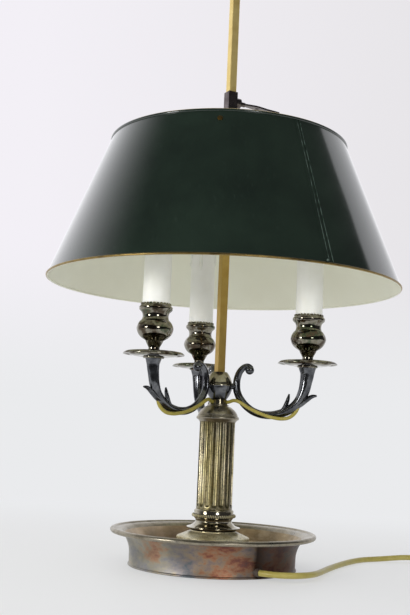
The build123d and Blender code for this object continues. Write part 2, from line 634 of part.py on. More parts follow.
def spider():
    """Three flat spokes from a square-holed hub to tabs that lie against the shade."""
    hub = Pos(0, 0, SPIDER_Z) * extrude(Circle(SPIDER_HUB_R), SPIDER_THICK)
    frame = hub
    inside = shade_r(RIVET_Z) - SHADE_SHEET
    reach = shade_r(SPIDER_Z) - SHADE_SHEET - SPIDER_THICK * 0.7
    spoke = Pos(0, 0, SPIDER_Z) * Box(
        reach, SPOKE_WIDTH, SPIDER_THICK, align=(Align.MIN, Align.CENTER, Align.MIN)
    )
    low = SPIDER_Z
    high = low + TAB_H
    skin = turned(
        (shade_r(low) - SHADE_SHEET - SPIDER_THICK, low), (shade_r(low) - SHADE_SHEET, low),
        (shade_r(high) - SHADE_SHEET, high), (shade_r(high) - SHADE_SHEET - SPIDER_THICK, high),
    )
    tab = skin & Pos(inside, 0, low) * Box(
        30, SPOKE_WIDTH, 3 * TAB_H, align=(Align.CENTER, Align.CENTER, Align.CENTER)
    )
    for n in range(SPIDER_SPOKES):
        frame += about(SPIDER_TURN + 360 * n / SPIDER_SPOKES, spoke + tab)
    hole = about(ROD_TURN, Pos(0, 0, SPIDER_Z) * Box(COLLAR_HOLE, COLLAR_HOLE, 10))
    holes = rivet_bodies(RIVET_R * 0.55 + 0.02, 8)
    return frame - hole - holes


def rivet_plane(n, z):
    """A plane on the shade's outside at a rivet, facing out."""
    azimuth = radians(SPIDER_TURN + 360 * n / SPIDER_SPOKES)
    outward = Vector(cos(azimuth), sin(azimuth), SHADE_SLOPE)
    spot = (shade_r(z) * cos(azimuth), shade_r(z) * sin(azimuth), z)
    return Plane(origin=spot, z_dir=outward)


def rivet_bodies(radius, half):
    bodies = Part()
    for n in range(SPIDER_SPOKES):
        place = rivet_plane(n, RIVET_Z)
        bodies += place * Pos(0, 0, -half) * extrude(Circle(radius), 2 * half)
    return bodies


def rivets():
    """One domed rivet through the shade and each tab."""
    shanks = []
    for n in range(SPIDER_SPOKES):
        place = rivet_plane(n, RIVET_Z)
        depth = SHADE_SHEET + SPIDER_THICK + 0.6
        shank = Pos(0, 0, -depth) * extrude(Circle(RIVET_R * 0.55), depth)
        dome = Pos(0, 0, 0.05) * extrude(Circle(RIVET_R), 0.5)
        top = Pos(0, 0, 0.55) * extrude(Circle(RIVET_R * 0.7), 0.4)
        shanks.append(place * (shank + Pos(0, 0, -0.01) * extrude(Circle(RIVET_R * 0.55), 0.2) + dome + top))
    return Compound(children=shanks)


def collar():
    """Square collar that slides on the rod, with the boss for the key."""
    low = SPIDER_Z + SPIDER_THICK
    height = COLLAR_TOP_Z - low
    outer = Rectangle(COLLAR_SIDE, COLLAR_SIDE)
    body = extrude(outer, height)
    body = Pos(0, 0, low) * chamfer(body.edges().filter_by(Axis.Z), ROD_CHAMFER)
    boss = Plane(origin=(COLLAR_HOLE / 2, 0, KEY_Z), z_dir=(1, 0, 0)) * extrude(
        Circle(BOSS_R), COLLAR_WALL + BOSS_OUT
    )
    body += boss
    body -= Pos(0, 0, low) * Box(
        COLLAR_HOLE, COLLAR_HOLE, 3 * height, align=(Align.CENTER, Align.CENTER, Align.CENTER)
    )
    body -= Plane(origin=(0, 0, KEY_Z), z_dir=(1, 0, 0)) * extrude(Circle(KEY_R + KEY_CLEAR), 40)
    return about(ROD_TURN, body)


def thumb_key():
    """Clamping screw with a flat, pierced, leaf-shaped grip."""
    tip = ROD_SIDE / 2 + KEY_TIP_GAP
    boss_end = COLLAR_SIDE / 2 + BOSS_OUT
    neck = boss_end + 3.0
    screw = Plane(origin=(tip, 0, KEY_Z), z_dir=(1, 0, 0)) * extrude(Circle(KEY_R), neck + 3 - tip)
    half = KEY_WIDTH / 2
    span = KEY_REACH - neck
    edge = Spline(
        (neck, KEY_R * 0.9), (neck + span * 0.12, KEY_R * 1.1), (neck + span * 0.36, half),
        (neck + span * 0.62, half * 0.55), (neck + span * 0.84, half * 0.34), (KEY_REACH, 0.6),
    )
    outline = make_face([
        edge, Line((KEY_REACH, 0.6), (KEY_REACH, -0.6)), mirror(edge, Plane.XZ),
        Line((neck, -KEY_R * 0.9), (neck, KEY_R * 0.9)),
    ])
    grip = Pos(0, 0, KEY_Z - KEY_THICK / 2) * extrude(outline, KEY_THICK)
    pierced = Pos(neck + span * 0.40, 0, KEY_Z - KEY_THICK) * extrude(Circle(KEY_HOLE_R), 3 * KEY_THICK)
    return about(ROD_TURN, screw + grip - pierced)


def switch_halves():
    """Cord switch: a lower shell, and a cover with a window for the rocker."""
    long, wide, high = SWITCH_SIZE
    x, y = SWITCH_START
    middle = Pos(x + long / 2, y, 0)
    whole = extrude(RectangleRounded(long, wide, wide * 0.3), high)
    whole = chamfer(whole.edges().group_by(Axis.Z)[-1], 1.5)
    hollow = Pos(0, 0, SWITCH_WALL) * extrude(
        Rectangle(long - 8 * SWITCH_WALL, wide - 2 * SWITCH_WALL - 2), high - 2 * SWITCH_WALL
    )
    window = Rectangle(ROCKER_SIZE[0] + 2 * ROCKER_SWING, ROCKER_SIZE[1] + 2 * ROCKER_GAP)
    whole = whole - hollow - Pos(0, 0, high / 2) * extrude(window, high)
    pin_z = high - SWITCH_WALL - 1.2
    pins = Plane(origin=(0, -wide, pin_z), z_dir=(0, 1, 0)) * extrude(
        Circle(ROCKER_PIN_R + ROCKER_PIN_CLEAR), 2 * wide
    )
    hinge = Pos(0, 0, pin_z) * (
        Box(6, wide - 2 * SWITCH_WALL - 2, 5) - Box(7, ROCKER_SIZE[1] + 2 * ROCKER_GAP, 6)
    )
    whole = whole + hinge - (pins & Pos(0, 0, pin_z) * Box(8, wide - 2 * SWITCH_WALL - 3, 5))
    seam = high * 0.5
    below = Box(2 * long, 2 * wide, 2 * seam)
    return middle * (whole & below), middle * (whole - below)


def switch_rocker():
    """Rocker with two faces and a pivot pin, tilted to its rest side."""
    long, wide, deep = ROCKER_SIZE
    high = SWITCH_SIZE[2]
    pin_z = high - SWITCH_WALL - 1.2
    rise = 1.4
    outline = make_face(Polyline(
        (-long / 2, 0, -1.2), (0, 0, -deep * 0.55), (long / 2, 0, -1.2), (long / 2, 0, 2.4 + rise),
        (0, 0, 2.4), (-long / 2, 0, 2.4 + rise), close=True,
    ))
    body = extrude(outline, wide / 2, dir=(0, 1, 0), both=True)
    pin = Plane(origin=(0, -wide / 2 - 2.2, 0), z_dir=(0, 1, 0)) * extrude(Circle(ROCKER_PIN_R), wide + 4.4)
    x, y = SWITCH_START
    return Pos(x + SWITCH_SIZE[0] / 2, y, pin_z) * Rot(0, -ROCKER_TILT, 0) * (body + pin)


def bend_after_switch():
    """From the switch round to where the coil's first stub begins."""
    x = SWITCH_START[0] + SWITCH_SIZE[0]
    y = SWITCH_START[1]
    points = [(x, y, SWITCH_CORD_Z), (x + BEND_RUN, y, SWITCH_CORD_Z)]
    for turn, z in ((30, 3.4), (60, CORD_R)):
        here = points[-1]
        a = radians(turn)
        points.append((here[0] + BEND_RUN * cos(a), here[1] - BEND_RUN * sin(a), z))
    last = points[-1]
    points.append((last[0] + 0.7, COIL_Y + COIL_STUB + 14.0, CORD_R))
    points.append((last[0] + 0.7, COIL_Y + COIL_STUB, CORD_R))
    return points


def coil_centre():
    return (bend_after_switch()[-1][0] - COIL_R, COIL_Y)


def coil_spot(turn):
    """A point of the coil's middle line, so many turns from where the cord comes in."""
    half = COIL_TURNS / COIL_LAYERS
    inward = turn if turn < half else 2 * half - turn
    r = COIL_R - COIL_PITCH * inward
    z = CORD_R if turn < half else CORD_R + COIL_PITCH
    angle = -2 * pi * turn
    x, y = coil_centre()
    return (x + r * cos(angle), y + r * sin(angle), z)


def coil_length():
    """Length of the cord that lies in the coil, turn by turn."""
    steps = 720
    spots = [Vector(*coil_spot(COIL_TURNS * n / steps)) for n in range(steps + 1)]
    return sum((b - a).length for a, b in zip(spots, spots[1:]))


def coil_way_out(distance):
    """A point of the straight cord that leaves the coil's top turn."""
    out = coil_spot(COIL_TURNS)
    a = -2 * pi * COIL_TURNS - pi / 2
    return (out[0] + distance * cos(a), out[1] + distance * sin(a), out[2])


def cord_coil():
    """The outer shape of the wound cord, with the straight cord at each end of it."""
    inner = COIL_R - COIL_PITCH * COIL_TURNS / COIL_LAYERS - CORD_R
    height = CORD_R * 2 + COIL_PITCH * (COIL_LAYERS - 1)
    ring = tube(COIL_R + CORD_R + 0.1, inner, 0.2, height + 0.1)
    ring = chamfer(ring.edges().filter_by(GeomType.CIRCLE), CORD_R * 0.6)
    x, y = coil_centre()
    start = Vector(*coil_spot(0))
    stub_in = Plane(origin=start, z_dir=(0, 1, 0)) * extrude(Circle(CORD_R), COIL_STUB)
    leave = Vector(*coil_way_out(0))
    way = Vector(*coil_way_out(1)) - leave
    stub_out = Plane(origin=leave, z_dir=way) * extrude(Circle(CORD_R), COIL_STUB)
    return Pos(x, y, 0) * ring + stub_in + stub_out


def cord_to_plug():
    """From the top of the coil down to the table and up into the plug."""
    first = coil_way_out(COIL_STUB)
    second = coil_way_out(COIL_STUB + COIL_LEAVE)
    heights = (PLUG_DIP_Z, CORD_R + 0.1, PLUG_DIP_Z, PLUG_HEIGHT / 2, PLUG_HEIGHT / 2)
    way = [(second[0] + x, second[1] + y, z) for (x, y), z in zip(CORD_TO_PLUG, heights)]
    return [first, second, *way]


def plug_place():
    end = cord_to_plug()[-1]
    return Plane(origin=end, x_dir=(1, 0, 0), z_dir=(0, -1, 0))


def plug_body():
    """Flat two-pin plug with its moulded strain relief."""
    relief = loft([Circle(CORD_R + 0.9), Pos(0, 0, PLUG_RELIEF) * Circle(CORD_R + 2.4)])
    rear = Pos(0, 0, PLUG_RELIEF) * RectangleRounded(PLUG_WIDTH * 0.55, PLUG_HEIGHT * 0.8, 4)
    front = Pos(0, 0, PLUG_RELIEF + PLUG_LENGTH * 0.55) * RectangleRounded(PLUG_WIDTH, PLUG_HEIGHT, 4)
    nose = Pos(0, 0, PLUG_RELIEF + PLUG_LENGTH) * RectangleRounded(PLUG_WIDTH, PLUG_HEIGHT, 4)
    body = loft([rear, front]) + loft([front, nose])
    return plug_place() * (relief + body)


def plug_pins():
    """The two pins, seated on the plug's face."""
    start = PLUG_RELIEF + PLUG_LENGTH
    pins = []
    for side in (-1, 1):
        pin = Pos(side * PIN_SPACING / 2, 0, start) * extrude(Circle(PIN_R), PIN_LENGTH)
        pins.append(plug_place() * chamfer(pin.edges().group_by(Axis.Z)[-1], 0.6))
    return Compound(children=pins)


def main():
    os.makedirs("parts", exist_ok=True)
    pieces = {
        "base_dish": base_dish(), "base_pad": base_pad(), "base_weight": base_weight(),
        "terminal_block": terminal_block(), "cord_bush": cord_bush(), "centre_tie": centre_tie(),
        "base_washer": base_washer(), "base_nut": base_nut(), "column_foot": column_foot(),
        "column_ring": column_ring(), "fluted_column": fluted_column(), "column_cap": column_cap(),
        "neck_ring": neck_ring(), "hub_lower": hub_lower(), "hub_upper": hub_upper(), "rod": rod(),
        "finial": finial(), "shade_shell": shade_shell(), "shade_bottom_wire": shade_edge(SHADE_Z, -1),
        "shade_top_wire": shade_edge(SHADE_TOP_Z, 1), "spider": spider(), "spider_rivets": rivets(),
        "collar": collar(), "thumb_key": thumb_key(), "switch_rocker": switch_rocker(),
        "cord_coil": cord_coil(), "plug_body": plug_body(), "plug_pins": plug_pins(),
    }
    pieces["switch_base"], pieces["switch_cover"] = switch_halves()
    pieces["shade_shell"] -= rivet_bodies(RIVET_R * 0.55 + 0.02, 8)
    one_arm = arm()
    for name, azimuth, side in ARMS:
        candle = about(azimuth, Pos(ARM_REACH, 0, 0))
        pieces["arm_" + name] = about(azimuth, one_arm)
        pieces["pan_" + name] = candle * pan()
        pieces["cup_" + name] = candle * cup()
        pieces["cup_tube_" + name] = candle * cup_tube()
        pieces["lampholder_" + name] = candle * lampholder()
        pieces["candle_sleeve_" + name] = candle * candle_sleeve()
        pieces["arm_lead_" + name], lead_length = arm_lead(name, azimuth, side)
        print("lead", name, round(lead_length, 1))
    pieces["mains_lead"], _ = mains_lead()
    outside = [along_cord(0), along_cord(CORD_STRAIGHT), *CORD_TO_SWITCH]
    routes = {
        "cord_to_switch": outside + [(SWITCH_START[0], SWITCH_START[1], SWITCH_CORD_Z)],
        "cord_to_coil": bend_after_switch(),
        "cord_to_plug": cord_to_plug(),
    }
    total = coil_length() + SWITCH_SIZE[0] + 2 * COIL_STUB
    for name, points in routes.items():
        pieces[name], length = run_of(points, CORD_R)
        total += length
        print(name, "length", round(length, 1), "radii", [round(r, 1) for r in corner_radii(points)])
        print("   volume", round(pieces[name].volume, 1), "section x length", round(pi * CORD_R ** 2 * length, 1))
    print("coil", round(coil_length(), 1), "whole cord", round(total, 1))
    for name, piece in pieces.items():
        export_step(piece, "parts/" + name + ".step")


main()
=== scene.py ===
from math import atan2, ceil, cos, hypot, pi, radians, sin

import bpy
from mathutils import Matrix, Vector


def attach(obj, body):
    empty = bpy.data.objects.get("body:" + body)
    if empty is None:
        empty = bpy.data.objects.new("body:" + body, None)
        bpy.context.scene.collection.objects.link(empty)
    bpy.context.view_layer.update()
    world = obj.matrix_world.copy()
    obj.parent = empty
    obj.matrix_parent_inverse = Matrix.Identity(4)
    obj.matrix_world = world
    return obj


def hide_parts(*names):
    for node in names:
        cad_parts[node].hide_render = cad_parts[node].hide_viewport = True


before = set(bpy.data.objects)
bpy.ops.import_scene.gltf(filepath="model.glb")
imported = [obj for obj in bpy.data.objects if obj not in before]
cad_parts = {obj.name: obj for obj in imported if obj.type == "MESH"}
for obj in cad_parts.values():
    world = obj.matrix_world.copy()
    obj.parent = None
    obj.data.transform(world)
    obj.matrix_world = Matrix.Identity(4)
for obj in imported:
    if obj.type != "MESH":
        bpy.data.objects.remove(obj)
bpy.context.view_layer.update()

bl_info = {
    "name": "Bouillotte Lamp",
    "version": (1, 0, 0),
    "blender": (4, 5, 0),
    "location": "View3D > Sidebar > Lamp",
    "description": "Builds a three-light bouillotte lamp with its shade, wiring and cord",
    "category": "Object",
}

MM = 0.001
WELD = 2e-6              # metres within which drawn points become one

# Levels and radii of the lamp, in millimetres. Origin on the table under the rod.
FLOOR_Z, RIM_Z, RIM_R, FLANGE_R, BASE_R, DISH_SHEET, ROLL_R = 14.0, 33.0, 97.0, 88.0, 80.0, 1.6, 2.3
TIE_BORE_R, CUP_BORE_R, HUB_BORE_R = 6.65, 4.05, 4.0
FOOT_R, KNURL_R, KNURL_Z, BEAD_R, BEAD_Z = 38.0, 34.7, 27.1, 20.1, 49.0
RING_Z, COLUMN_Z, CAP_Z, COLUMN_R, COLUMN_BORE_R = 35.0, 55.0, 139.0, 17.5, 12.5
FLUTES, FLUTE_R, FLUTE_AT = 16, 2.9, 18.1
HUB_Z, EQUATOR_Z, HUB_TOP_Z, HUB_R, HUB_LINE_R = 160.8, 174.4, 188.0, 13.5, 13.9
ARMS = (("right", -14.5), ("back", 105.5), ("left", 225.5))
ARM_REACH, BALL_R, TENON_R = 87.4, 4.4, 3.0
SEAT_Z, CUP_Z, CUP_H, GALLERY_AT, PAN_R = 194.0, 198.2, 50.1, 0.918, 28.75
SLEEVE_R, SLEEVE_BORE_R, SLEEVE_Z, SLEEVE_TOP_Z = 13.0, 11.8, 239.0, 332.0
SHADE_Z, SHADE_TOP_Z, SHADE_BOTTOM_R, SHADE_TOP_R, SHADE_SHEET = 274.0, 416.0, 175.0, 118.5, 0.8
SHADE_STEPS, SHADE_ROWS = 160, 12
CORD_R = 2.75


def colour(code):
    """An sRGB hex value as linear red, green, blue and alpha."""
    parts = [int(code[n:n + 2], 16) / 255 for n in (1, 3, 5)]
    return tuple(p / 12.92 if p <= 0.04045 else ((p + 0.055) / 1.055) ** 2.4 for p in parts) + (1.0,)


# --- modelling ---

def clear():
    """Leaves edit mode with nothing selected."""
    if bpy.context.object and bpy.context.object.mode != "OBJECT":
        bpy.ops.object.mode_set(mode="OBJECT")
    bpy.ops.object.select_all(action="DESELECT")


def pick(*objects):
    """Selects these objects alone; the last one is the active one."""
    clear()
    for obj in objects:
        obj.select_set(True)
        bpy.context.view_layer.objects.active = obj


def settle(obj, name=None):
    """Brings a finished object to the origin, unturned and unscaled, with its place in its mesh."""
    pick(obj)
    bpy.ops.object.transform_apply(location=True, rotation=True, scale=True)
    if name:
        obj.name = obj.data.name = name
    return obj


def arc(a, b, c, parts):
    """Points after a on the circle through a, b and c, as far as c."""
    ax, ay, bx, by, cx, cy = *a, *b, *c
    a2, b2, c2 = ax * ax + ay * ay, bx * bx + by * by, cx * cx + cy * cy
    d = 2 * (ax * (by - cy) + bx * (cy - ay) + cx * (ay - by))
    ux = (a2 * (by - cy) + b2 * (cy - ay) + c2 * (ay - by)) / d
    uy = (a2 * (cx - bx) + b2 * (ax - cx) + c2 * (bx - ax)) / d
    start, mid, end = (atan2(y - uy, x - ux) for x, y in (a, b, c))
    sweep, half = (end - start) % (2 * pi), (mid - start) % (2 * pi)
    if half > sweep:
        sweep -= 2 * pi
    r = hypot(ax - ux, ay - uy)
    return [(ux + r * cos(start + sweep * n / parts), uy + r * sin(start + sweep * n / parts))
            for n in range(1, parts + 1)]


def profile(start, *steps, parts=10, lift=0.0):
    """A profile in millimetres: a step of one point is straight, a step of two an arc through both."""
    points = [(start[0], lift + start[1])]
    for step in steps:
        if isinstance(step[0], tuple):
            points += arc(points[-1], *[(r, lift + z) for r, z in step], parts)
        else:
            points.append((step[0], lift + step[1]))
    return points


def draw(points, middle=0.0):
    """Draws a closed profile point by point, and leaves it selected in edit mode."""
    clear()
    r, z = points[0]
    bpy.ops.mesh.primitive_plane_add(size=MM, location=((middle + r) * MM, 0, z * MM))
    obj = bpy.context.object
    bpy.ops.object.mode_set(mode="EDIT")
    bpy.ops.mesh.select_all(action="SELECT")
    bpy.ops.mesh.merge(type="CENTER")
    path = points + [points[0]]
    for (r0, z0), (r1, z1) in zip(path, path[1:]):
        step = ((r1 - r0) * MM, 0, (z1 - z0) * MM)
        bpy.ops.mesh.extrude_vertices_move(TRANSFORM_OT_translate={"value": step})
    bpy.ops.mesh.select_all(action="SELECT")
    return obj


def turn(name, points, steps=96, middle=0.0):
    """Spins a profile about an upright axis, as on a lathe."""
    obj = draw(points, middle)
    bpy.ops.mesh.spin(steps=steps, angle=2 * pi, center=(middle * MM, 0, 0), axis=(0, 0, 1))
    bpy.ops.mesh.select_all(action="SELECT")
    bpy.ops.mesh.remove_doubles(threshold=WELD)
    bpy.ops.mesh.normals_make_consistent(inside=False)
    bpy.ops.object.mode_set(mode="OBJECT")
    return settle(obj, name)


def sector(name, points, start, angle, steps):
    """Part of a turned piece: a profile swept from an azimuth through an angle in degrees, and capped."""
    obj = draw(points)
    bpy.ops.mesh.remove_doubles(threshold=WELD)
    bpy.ops.mesh.select_all(action="SELECT")
    bpy.ops.mesh.spin(steps=steps, angle=radians(angle), center=(0, 0, 0), axis=(0, 0, 1))
    bpy.ops.mesh.select_all(action="DESELECT")
    bpy.ops.mesh.select_non_manifold()
    bpy.ops.mesh.edge_face_add()
    bpy.ops.mesh.select_all(action="SELECT")
    bpy.ops.mesh.normals_make_consistent(inside=False)
    bpy.ops.object.mode_set(mode="OBJECT")
    settle(obj, name)
    obj.rotation_euler.z = radians(start)
    return settle(obj)


def ball(radius, place, segments, rings, scale=(1.0, 1.0, 1.0), tilt=0.0):
    """A sphere in millimetres at a place, scaled along each axis and tilted by degrees about it."""
    clear()
    bpy.ops.mesh.primitive_uv_sphere_add(segments=segments, ring_count=rings, radius=radius * MM,
                                         location=[value * MM for value in place])
    obj = bpy.context.object
    obj.scale = scale
    obj.rotation_euler.x = radians(tilt)
    return settle(obj)


def modify(obj, kind, **settings):
    """Adds a modifier and applies it."""
    pick(obj)
    modifier = obj.modifiers.new(kind.title(), kind)
    for key, value in settings.items():
        setattr(modifier, key, value)
    bpy.ops.object.modifier_apply(modifier=modifier.name)
    return obj


def ease(obj, width=0.3, angle=32.0, segments=2):
    """Breaks the sharp edges by a width in millimetres and smooths the faces between them."""
    if width:
        modify(obj, "BEVEL", width=width * MM, segments=segments, limit_method="ANGLE",
               angle_limit=radians(angle), use_clamp_overlap=True)
    pick(obj)
    bpy.ops.object.shade_smooth_by_angle(angle=radians(angle))
    return obj


def ring_of(obj, count, middle=0.0):
    """Repeats a small shape round an upright axis, the shape itself included."""
    pick(obj)
    bpy.ops.object.mode_set(mode="EDIT")
    bpy.ops.mesh.select_all(action="SELECT")
    bpy.ops.mesh.spin(steps=count - 1, angle=2 * pi * (count - 1) / count, dupli=True,
                      center=(middle * MM, 0, 0), axis=(0, 0, 1))
    bpy.ops.object.mode_set(mode="OBJECT")
    return obj


def join(name, *objects):
    """Joins small shapes into the first, as one piece."""
    pick(*objects[1:], objects[0])
    bpy.ops.object.join()
    objects[0].name = objects[0].data.name = name
    return objects[0]


def stroke(points, radii, section, resolution=8, tilt=0.0):
    """A bar bent through points in millimetres, as thick as its radii say, with a section drawn round it."""
    clear()
    bpy.ops.curve.primitive_bezier_curve_add(location=(0, 0, 0))
    obj = bpy.context.object
    line = obj.data.splines[0]
    line.bezier_points.add(len(points) - 2)
    for knot, place, radius in zip(line.bezier_points, points, radii):
        knot.co = Vector(place) * MM
        knot.handle_left_type = knot.handle_right_type = "AUTO"
        knot.radius = radius
        knot.tilt = radians(tilt)
    obj.data.resolution_u = resolution
    obj.data.bevel_mode = "OBJECT"
    obj.data.bevel_object = section
    obj.data.use_fill_caps = True
    obj.data.twist_mode = "MINIMUM"
    bpy.ops.object.convert(target="MESH")
    return settle(bpy.context.object)


def round_section(wide, deep, waist=1.0):
    """A closed outline, wide by deep in millimetres, drawn in by waist at its four diagonals."""
    clear()
    bpy.ops.curve.primitive_bezier_circle_add(radius=MM)
    obj = bpy.context.object
    bpy.ops.object.mode_set(mode="EDIT")
    bpy.ops.curve.select_all(action="SELECT")
    bpy.ops.curve.subdivide(number_cuts=1)
    bpy.ops.curve.handle_type_set(type="AUTOMATIC")
    bpy.ops.object.mode_set(mode="OBJECT")
    for knot in obj.data.splines[0].bezier_points:
        diagonal = abs(knot.co.x) > 0.3 * MM and abs(knot.co.y) > 0.3 * MM
        inward = waist if diagonal else 1.0
        knot.co = (knot.co.x * wide / 2 * inward, knot.co.y * deep / 2 * inward, 0)
    obj.data.resolution_u = 4
    return obj


def outward(face):
    """How far a face of a turned piece looks away from the axis; below zero, it looks in."""
    return face.normal.x * face.center.x + face.normal.y * face.center.y


def discard(*objects):
    for obj in objects:
        bpy.data.objects.remove(obj)


def round_the_hub(obj, stem, node):
    """One piece for each arm: a copy with its own mesh, turned to the arm's azimuth."""
    for name, azimuth in ARMS:
        piece = obj.copy()
        piece.data = obj.data.copy()
        bpy.context.collection.objects.link(piece)
        piece.rotation_euler.z = radians(azimuth)
        settle(piece, stem + "_" + name)
        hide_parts(node + name)
        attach(piece, "base")
    discard(obj)


# --- materials ---

WAX = (1.0, 0.9, 0.7)    # how far red, green and blue light go under the surface, against each other
SOFT_PVC = {"IOR": 1.5, "Specular IOR Level": 0.35}


def add(tree, kind, inputs=None, **settings):
    """Adds a node with its settings, and gives each input its value or its link."""
    node = tree.nodes.new(kind)
    for key, value in settings.items():
        setattr(node, key, value)
    for key, value in (inputs or {}).items():
        if isinstance(value, bpy.types.NodeSocket):
            tree.links.new(value, node.inputs[key])
        else:
            node.inputs[key].default_value = value
    return node


def new_material(**sockets):
    """A new material with its shader, and the place on the object that patterns are read from."""
    material = bpy.data.materials.new("material")
    material.use_nodes = True
    tree = material.node_tree
    tree.nodes.clear()
    shader = add(tree, "ShaderNodeBsdfPrincipled", sockets)
    add(tree, "ShaderNodeOutputMaterial", {"Surface": shader.outputs["BSDF"]})
    place = add(tree, "ShaderNodeTexCoord").outputs["Object"]
    return material, tree, shader, place


def ramp(tree, value, *stops):
    """Colours or greys along a value: each stop is its place and what it is there."""
    node = add(tree, "ShaderNodeValToRGB", {"Fac": value})
    elements = node.color_ramp.elements
    while len(elements) < len(stops):
        elements.new(0.5)
    for element, (place, tone) in zip(elements, stops):
        element.position = place
        element.color = colour(tone) if isinstance(tone, str) else (tone, tone, tone, 1.0)
    return node.outputs["Color"]


def noise(tree, place, scale, detail, **more):
    """A cloudy value from 0 to 1, with about so many clouds to the metre."""
    inputs = {"Vector": place, "Scale": scale, "Detail": detail, **more}
    return add(tree, "ShaderNodeTexNoise", inputs).outputs["Fac"]


def drawn_out(tree, place, *scale, **more):
    """The place scaled along each axis, which draws out a pattern read there."""
    return add(tree, "ShaderNodeMapping", {"Vector": place, "Scale": scale, **more}).outputs["Vector"]


def axes(tree, vector):
    """The X, Y and Z of a vector."""
    return add(tree, "ShaderNodeSeparateXYZ", {"Vector": vector}).outputs


def carry(tree, value, low, high, first=0.0, last=1.0, kind="LINEAR"):
    """A value between low and high, carried over to between first and last."""
    inputs = {"Value": value, "From Min": low, "From Max": high, "To Min": first, "To Max": last}
    return add(tree, "ShaderNodeMapRange", inputs, interpolation_type=kind).outputs["Result"]


def reckon(tree, operation, *values):
    """One step of arithmetic."""
    return add(tree, "ShaderNodeMath", dict(enumerate(values)), operation=operation).outputs["Value"]


def mixed(tree, factor, a, b, data_type="RGBA", blend_type="MIX"):
    """Two colours, or two values, mixed by a factor."""
    inputs = {"Factor": factor, "A": a, "B": b}
    return add(tree, "ShaderNodeMix", inputs, data_type=data_type, blend_type=blend_type).outputs["Result"]


def times(tree, factor, a, b):
    """One colour darkened by another, as far as the factor says."""
    return mixed(tree, factor, a, b, blend_type="MULTIPLY")


def polish(tree, value, first, last):
    """A roughness that goes with a cloudy value."""
    return ramp(tree, value, (0.3, first), (0.7, last))


def surface(tree, shader, tone, rough, relief=None, normals=("Normal",)):
    """Gives the shader colour, roughness and a relief: its height, strength and depth in metres."""
    tree.links.new(tone, shader.inputs["Base Color"])
    tree.links.new(rough, shader.inputs["Roughness"])
    if relief:
        height, strength, depth = relief
        bump = add(tree, "ShaderNodeBump", {"Height": height, "Strength": strength, "Distance": depth})
        for name in normals:
            tree.links.new(bump.outputs["Normal"], shader.inputs[name])


def dress(obj, *makers):
    """Gives an object its materials, one for each slot. A material has its maker's name and is made once."""
    obj.data.materials.clear()
    for maker in makers:
        material = bpy.data.materials.get(maker.__name__)
        if not material:
            material = maker()
            material.name = maker.__name__
        obj.data.materials.append(material)
    return obj


def plain(scale, detail, tones, rough, at=(0.3, 0.7), along=None, grit=0.5, relief=None, **sockets):
    """A material whose one cloudy pattern takes it from a tone and a polish to the next."""
    material, tree, shader, place = new_material(**sockets)
    if along:
        place = drawn_out(tree, place, *along)
    cloud = noise(tree, place, scale, detail, Roughness=grit)
    tone = ramp(tree, cloud, (at[0], tones[0]), (at[1], tones[1]))
    surface(tree, shader, tone, polish(tree, cloud, *rough), relief and (cloud, *relief))
    return material


def plated(stops, rough, bump, pores=0.72, metal=1.0):
    """Silver plate on metal: clouds of tarnish with their polish, and dark specks."""
    material, tree, shader, place = new_material(Metallic=metal)
    cloud = noise(tree, place, 70.0, 4.0, Roughness=0.55)
    speck = noise(tree, place, 700.0, 3.0)
    tone = times(tree, 0.8, ramp(tree, cloud, *stops), ramp(tree, speck, (0.36, pores), (0.52, 1.0)))
    surface(tree, shader, tone, polish(tree, cloud, *rough), (speck, bump, 0.0002))
    return material


def tarnished_silver_plate():
    """Electroplated silver on turned brass, grown dark: a deep mirror with olive, brown and grey stains."""
    stops = [(0.3, "#43382f"), (0.42, "#5d5447"), (0.5, "#969286"), (0.56, "#8b8676"), (0.62, "#56604f"),
             (0.7, "#705449")]
    return plated(stops, (0.1, 0.04), 0.04)


def blackened_silver_plate():
    """Silver plate on cast brass, left to blacken: blue-black with a shine along every ridge. On the hub's
    lower half it is painted shade.
    """
    stops = [(0.3, "#404145"), (0.45, "#595b5f"), (0.6, "#76787b"), (0.75, "#515459")]
    return plated(stops, (0.24, 0.13), 0.04)


def recess_shade_black():
    """Painted shade in the ring's recesses: brown black, without shine."""
    return plated([(0.3, "#2b2620"), (0.5, "#3a342c"), (0.7, "#25221f")], (0.7, 0.55), 0.2)


def dulled_silver_plate():
    """Silver plate on the column's ring and the hub's upper half: olive grey, half mirror and half smoke. On
    the hub it is painted light, paler than the blackened lower half.
    """
    stops = [(0.3, "#7d745e"), (0.45, "#9c947e"), (0.6, "#b6b09f"), (0.75, "#878377")]
    return plated(stops, (0.18, 0.09), 0.06)


def straw_silver_plate():
    """Plate rubbed thin over brass on the foot and the beads: pale straw with dark pores. On the beads the
    paleness is also a painted highlight.
    """
    stops = [(0.3, "#9d9069"), (0.45, "#bdb189"), (0.6, "#cbc3a2"), (0.75, "#9f977a")]
    return plated(stops, (0.42, 0.3), 0.3, 0.4, 0.5)


def rubbed_silver_plate():
    """Silver plate on the rolled rim and the column's cap, dulled by handling: pale warm grey."""
    stops = [(0.3, "#877f6e"), (0.5, "#a39b89"), (0.7, "#8b877d")]
    return plated(stops, (0.36, 0.26), 0.1)


def aged_bronze():
    """Brass gone to bronze on the collar and its key: near black, with a warm sheen on the corners."""
    return plated([(0.3, "#5c5252"), (0.5, "#7b7272"), (0.7, "#6a6566")], (0.34, 0.22), 0.15)


def gilt_edge():
    """Lacquered brass in the shade's lower edge, its spider and rivets: brown gold."""
    return plated([(0.3, "#8f7a48"), (0.5, "#a58c55"), (0.7, "#7d6a42")], (0.4, 0.3), 0.1)


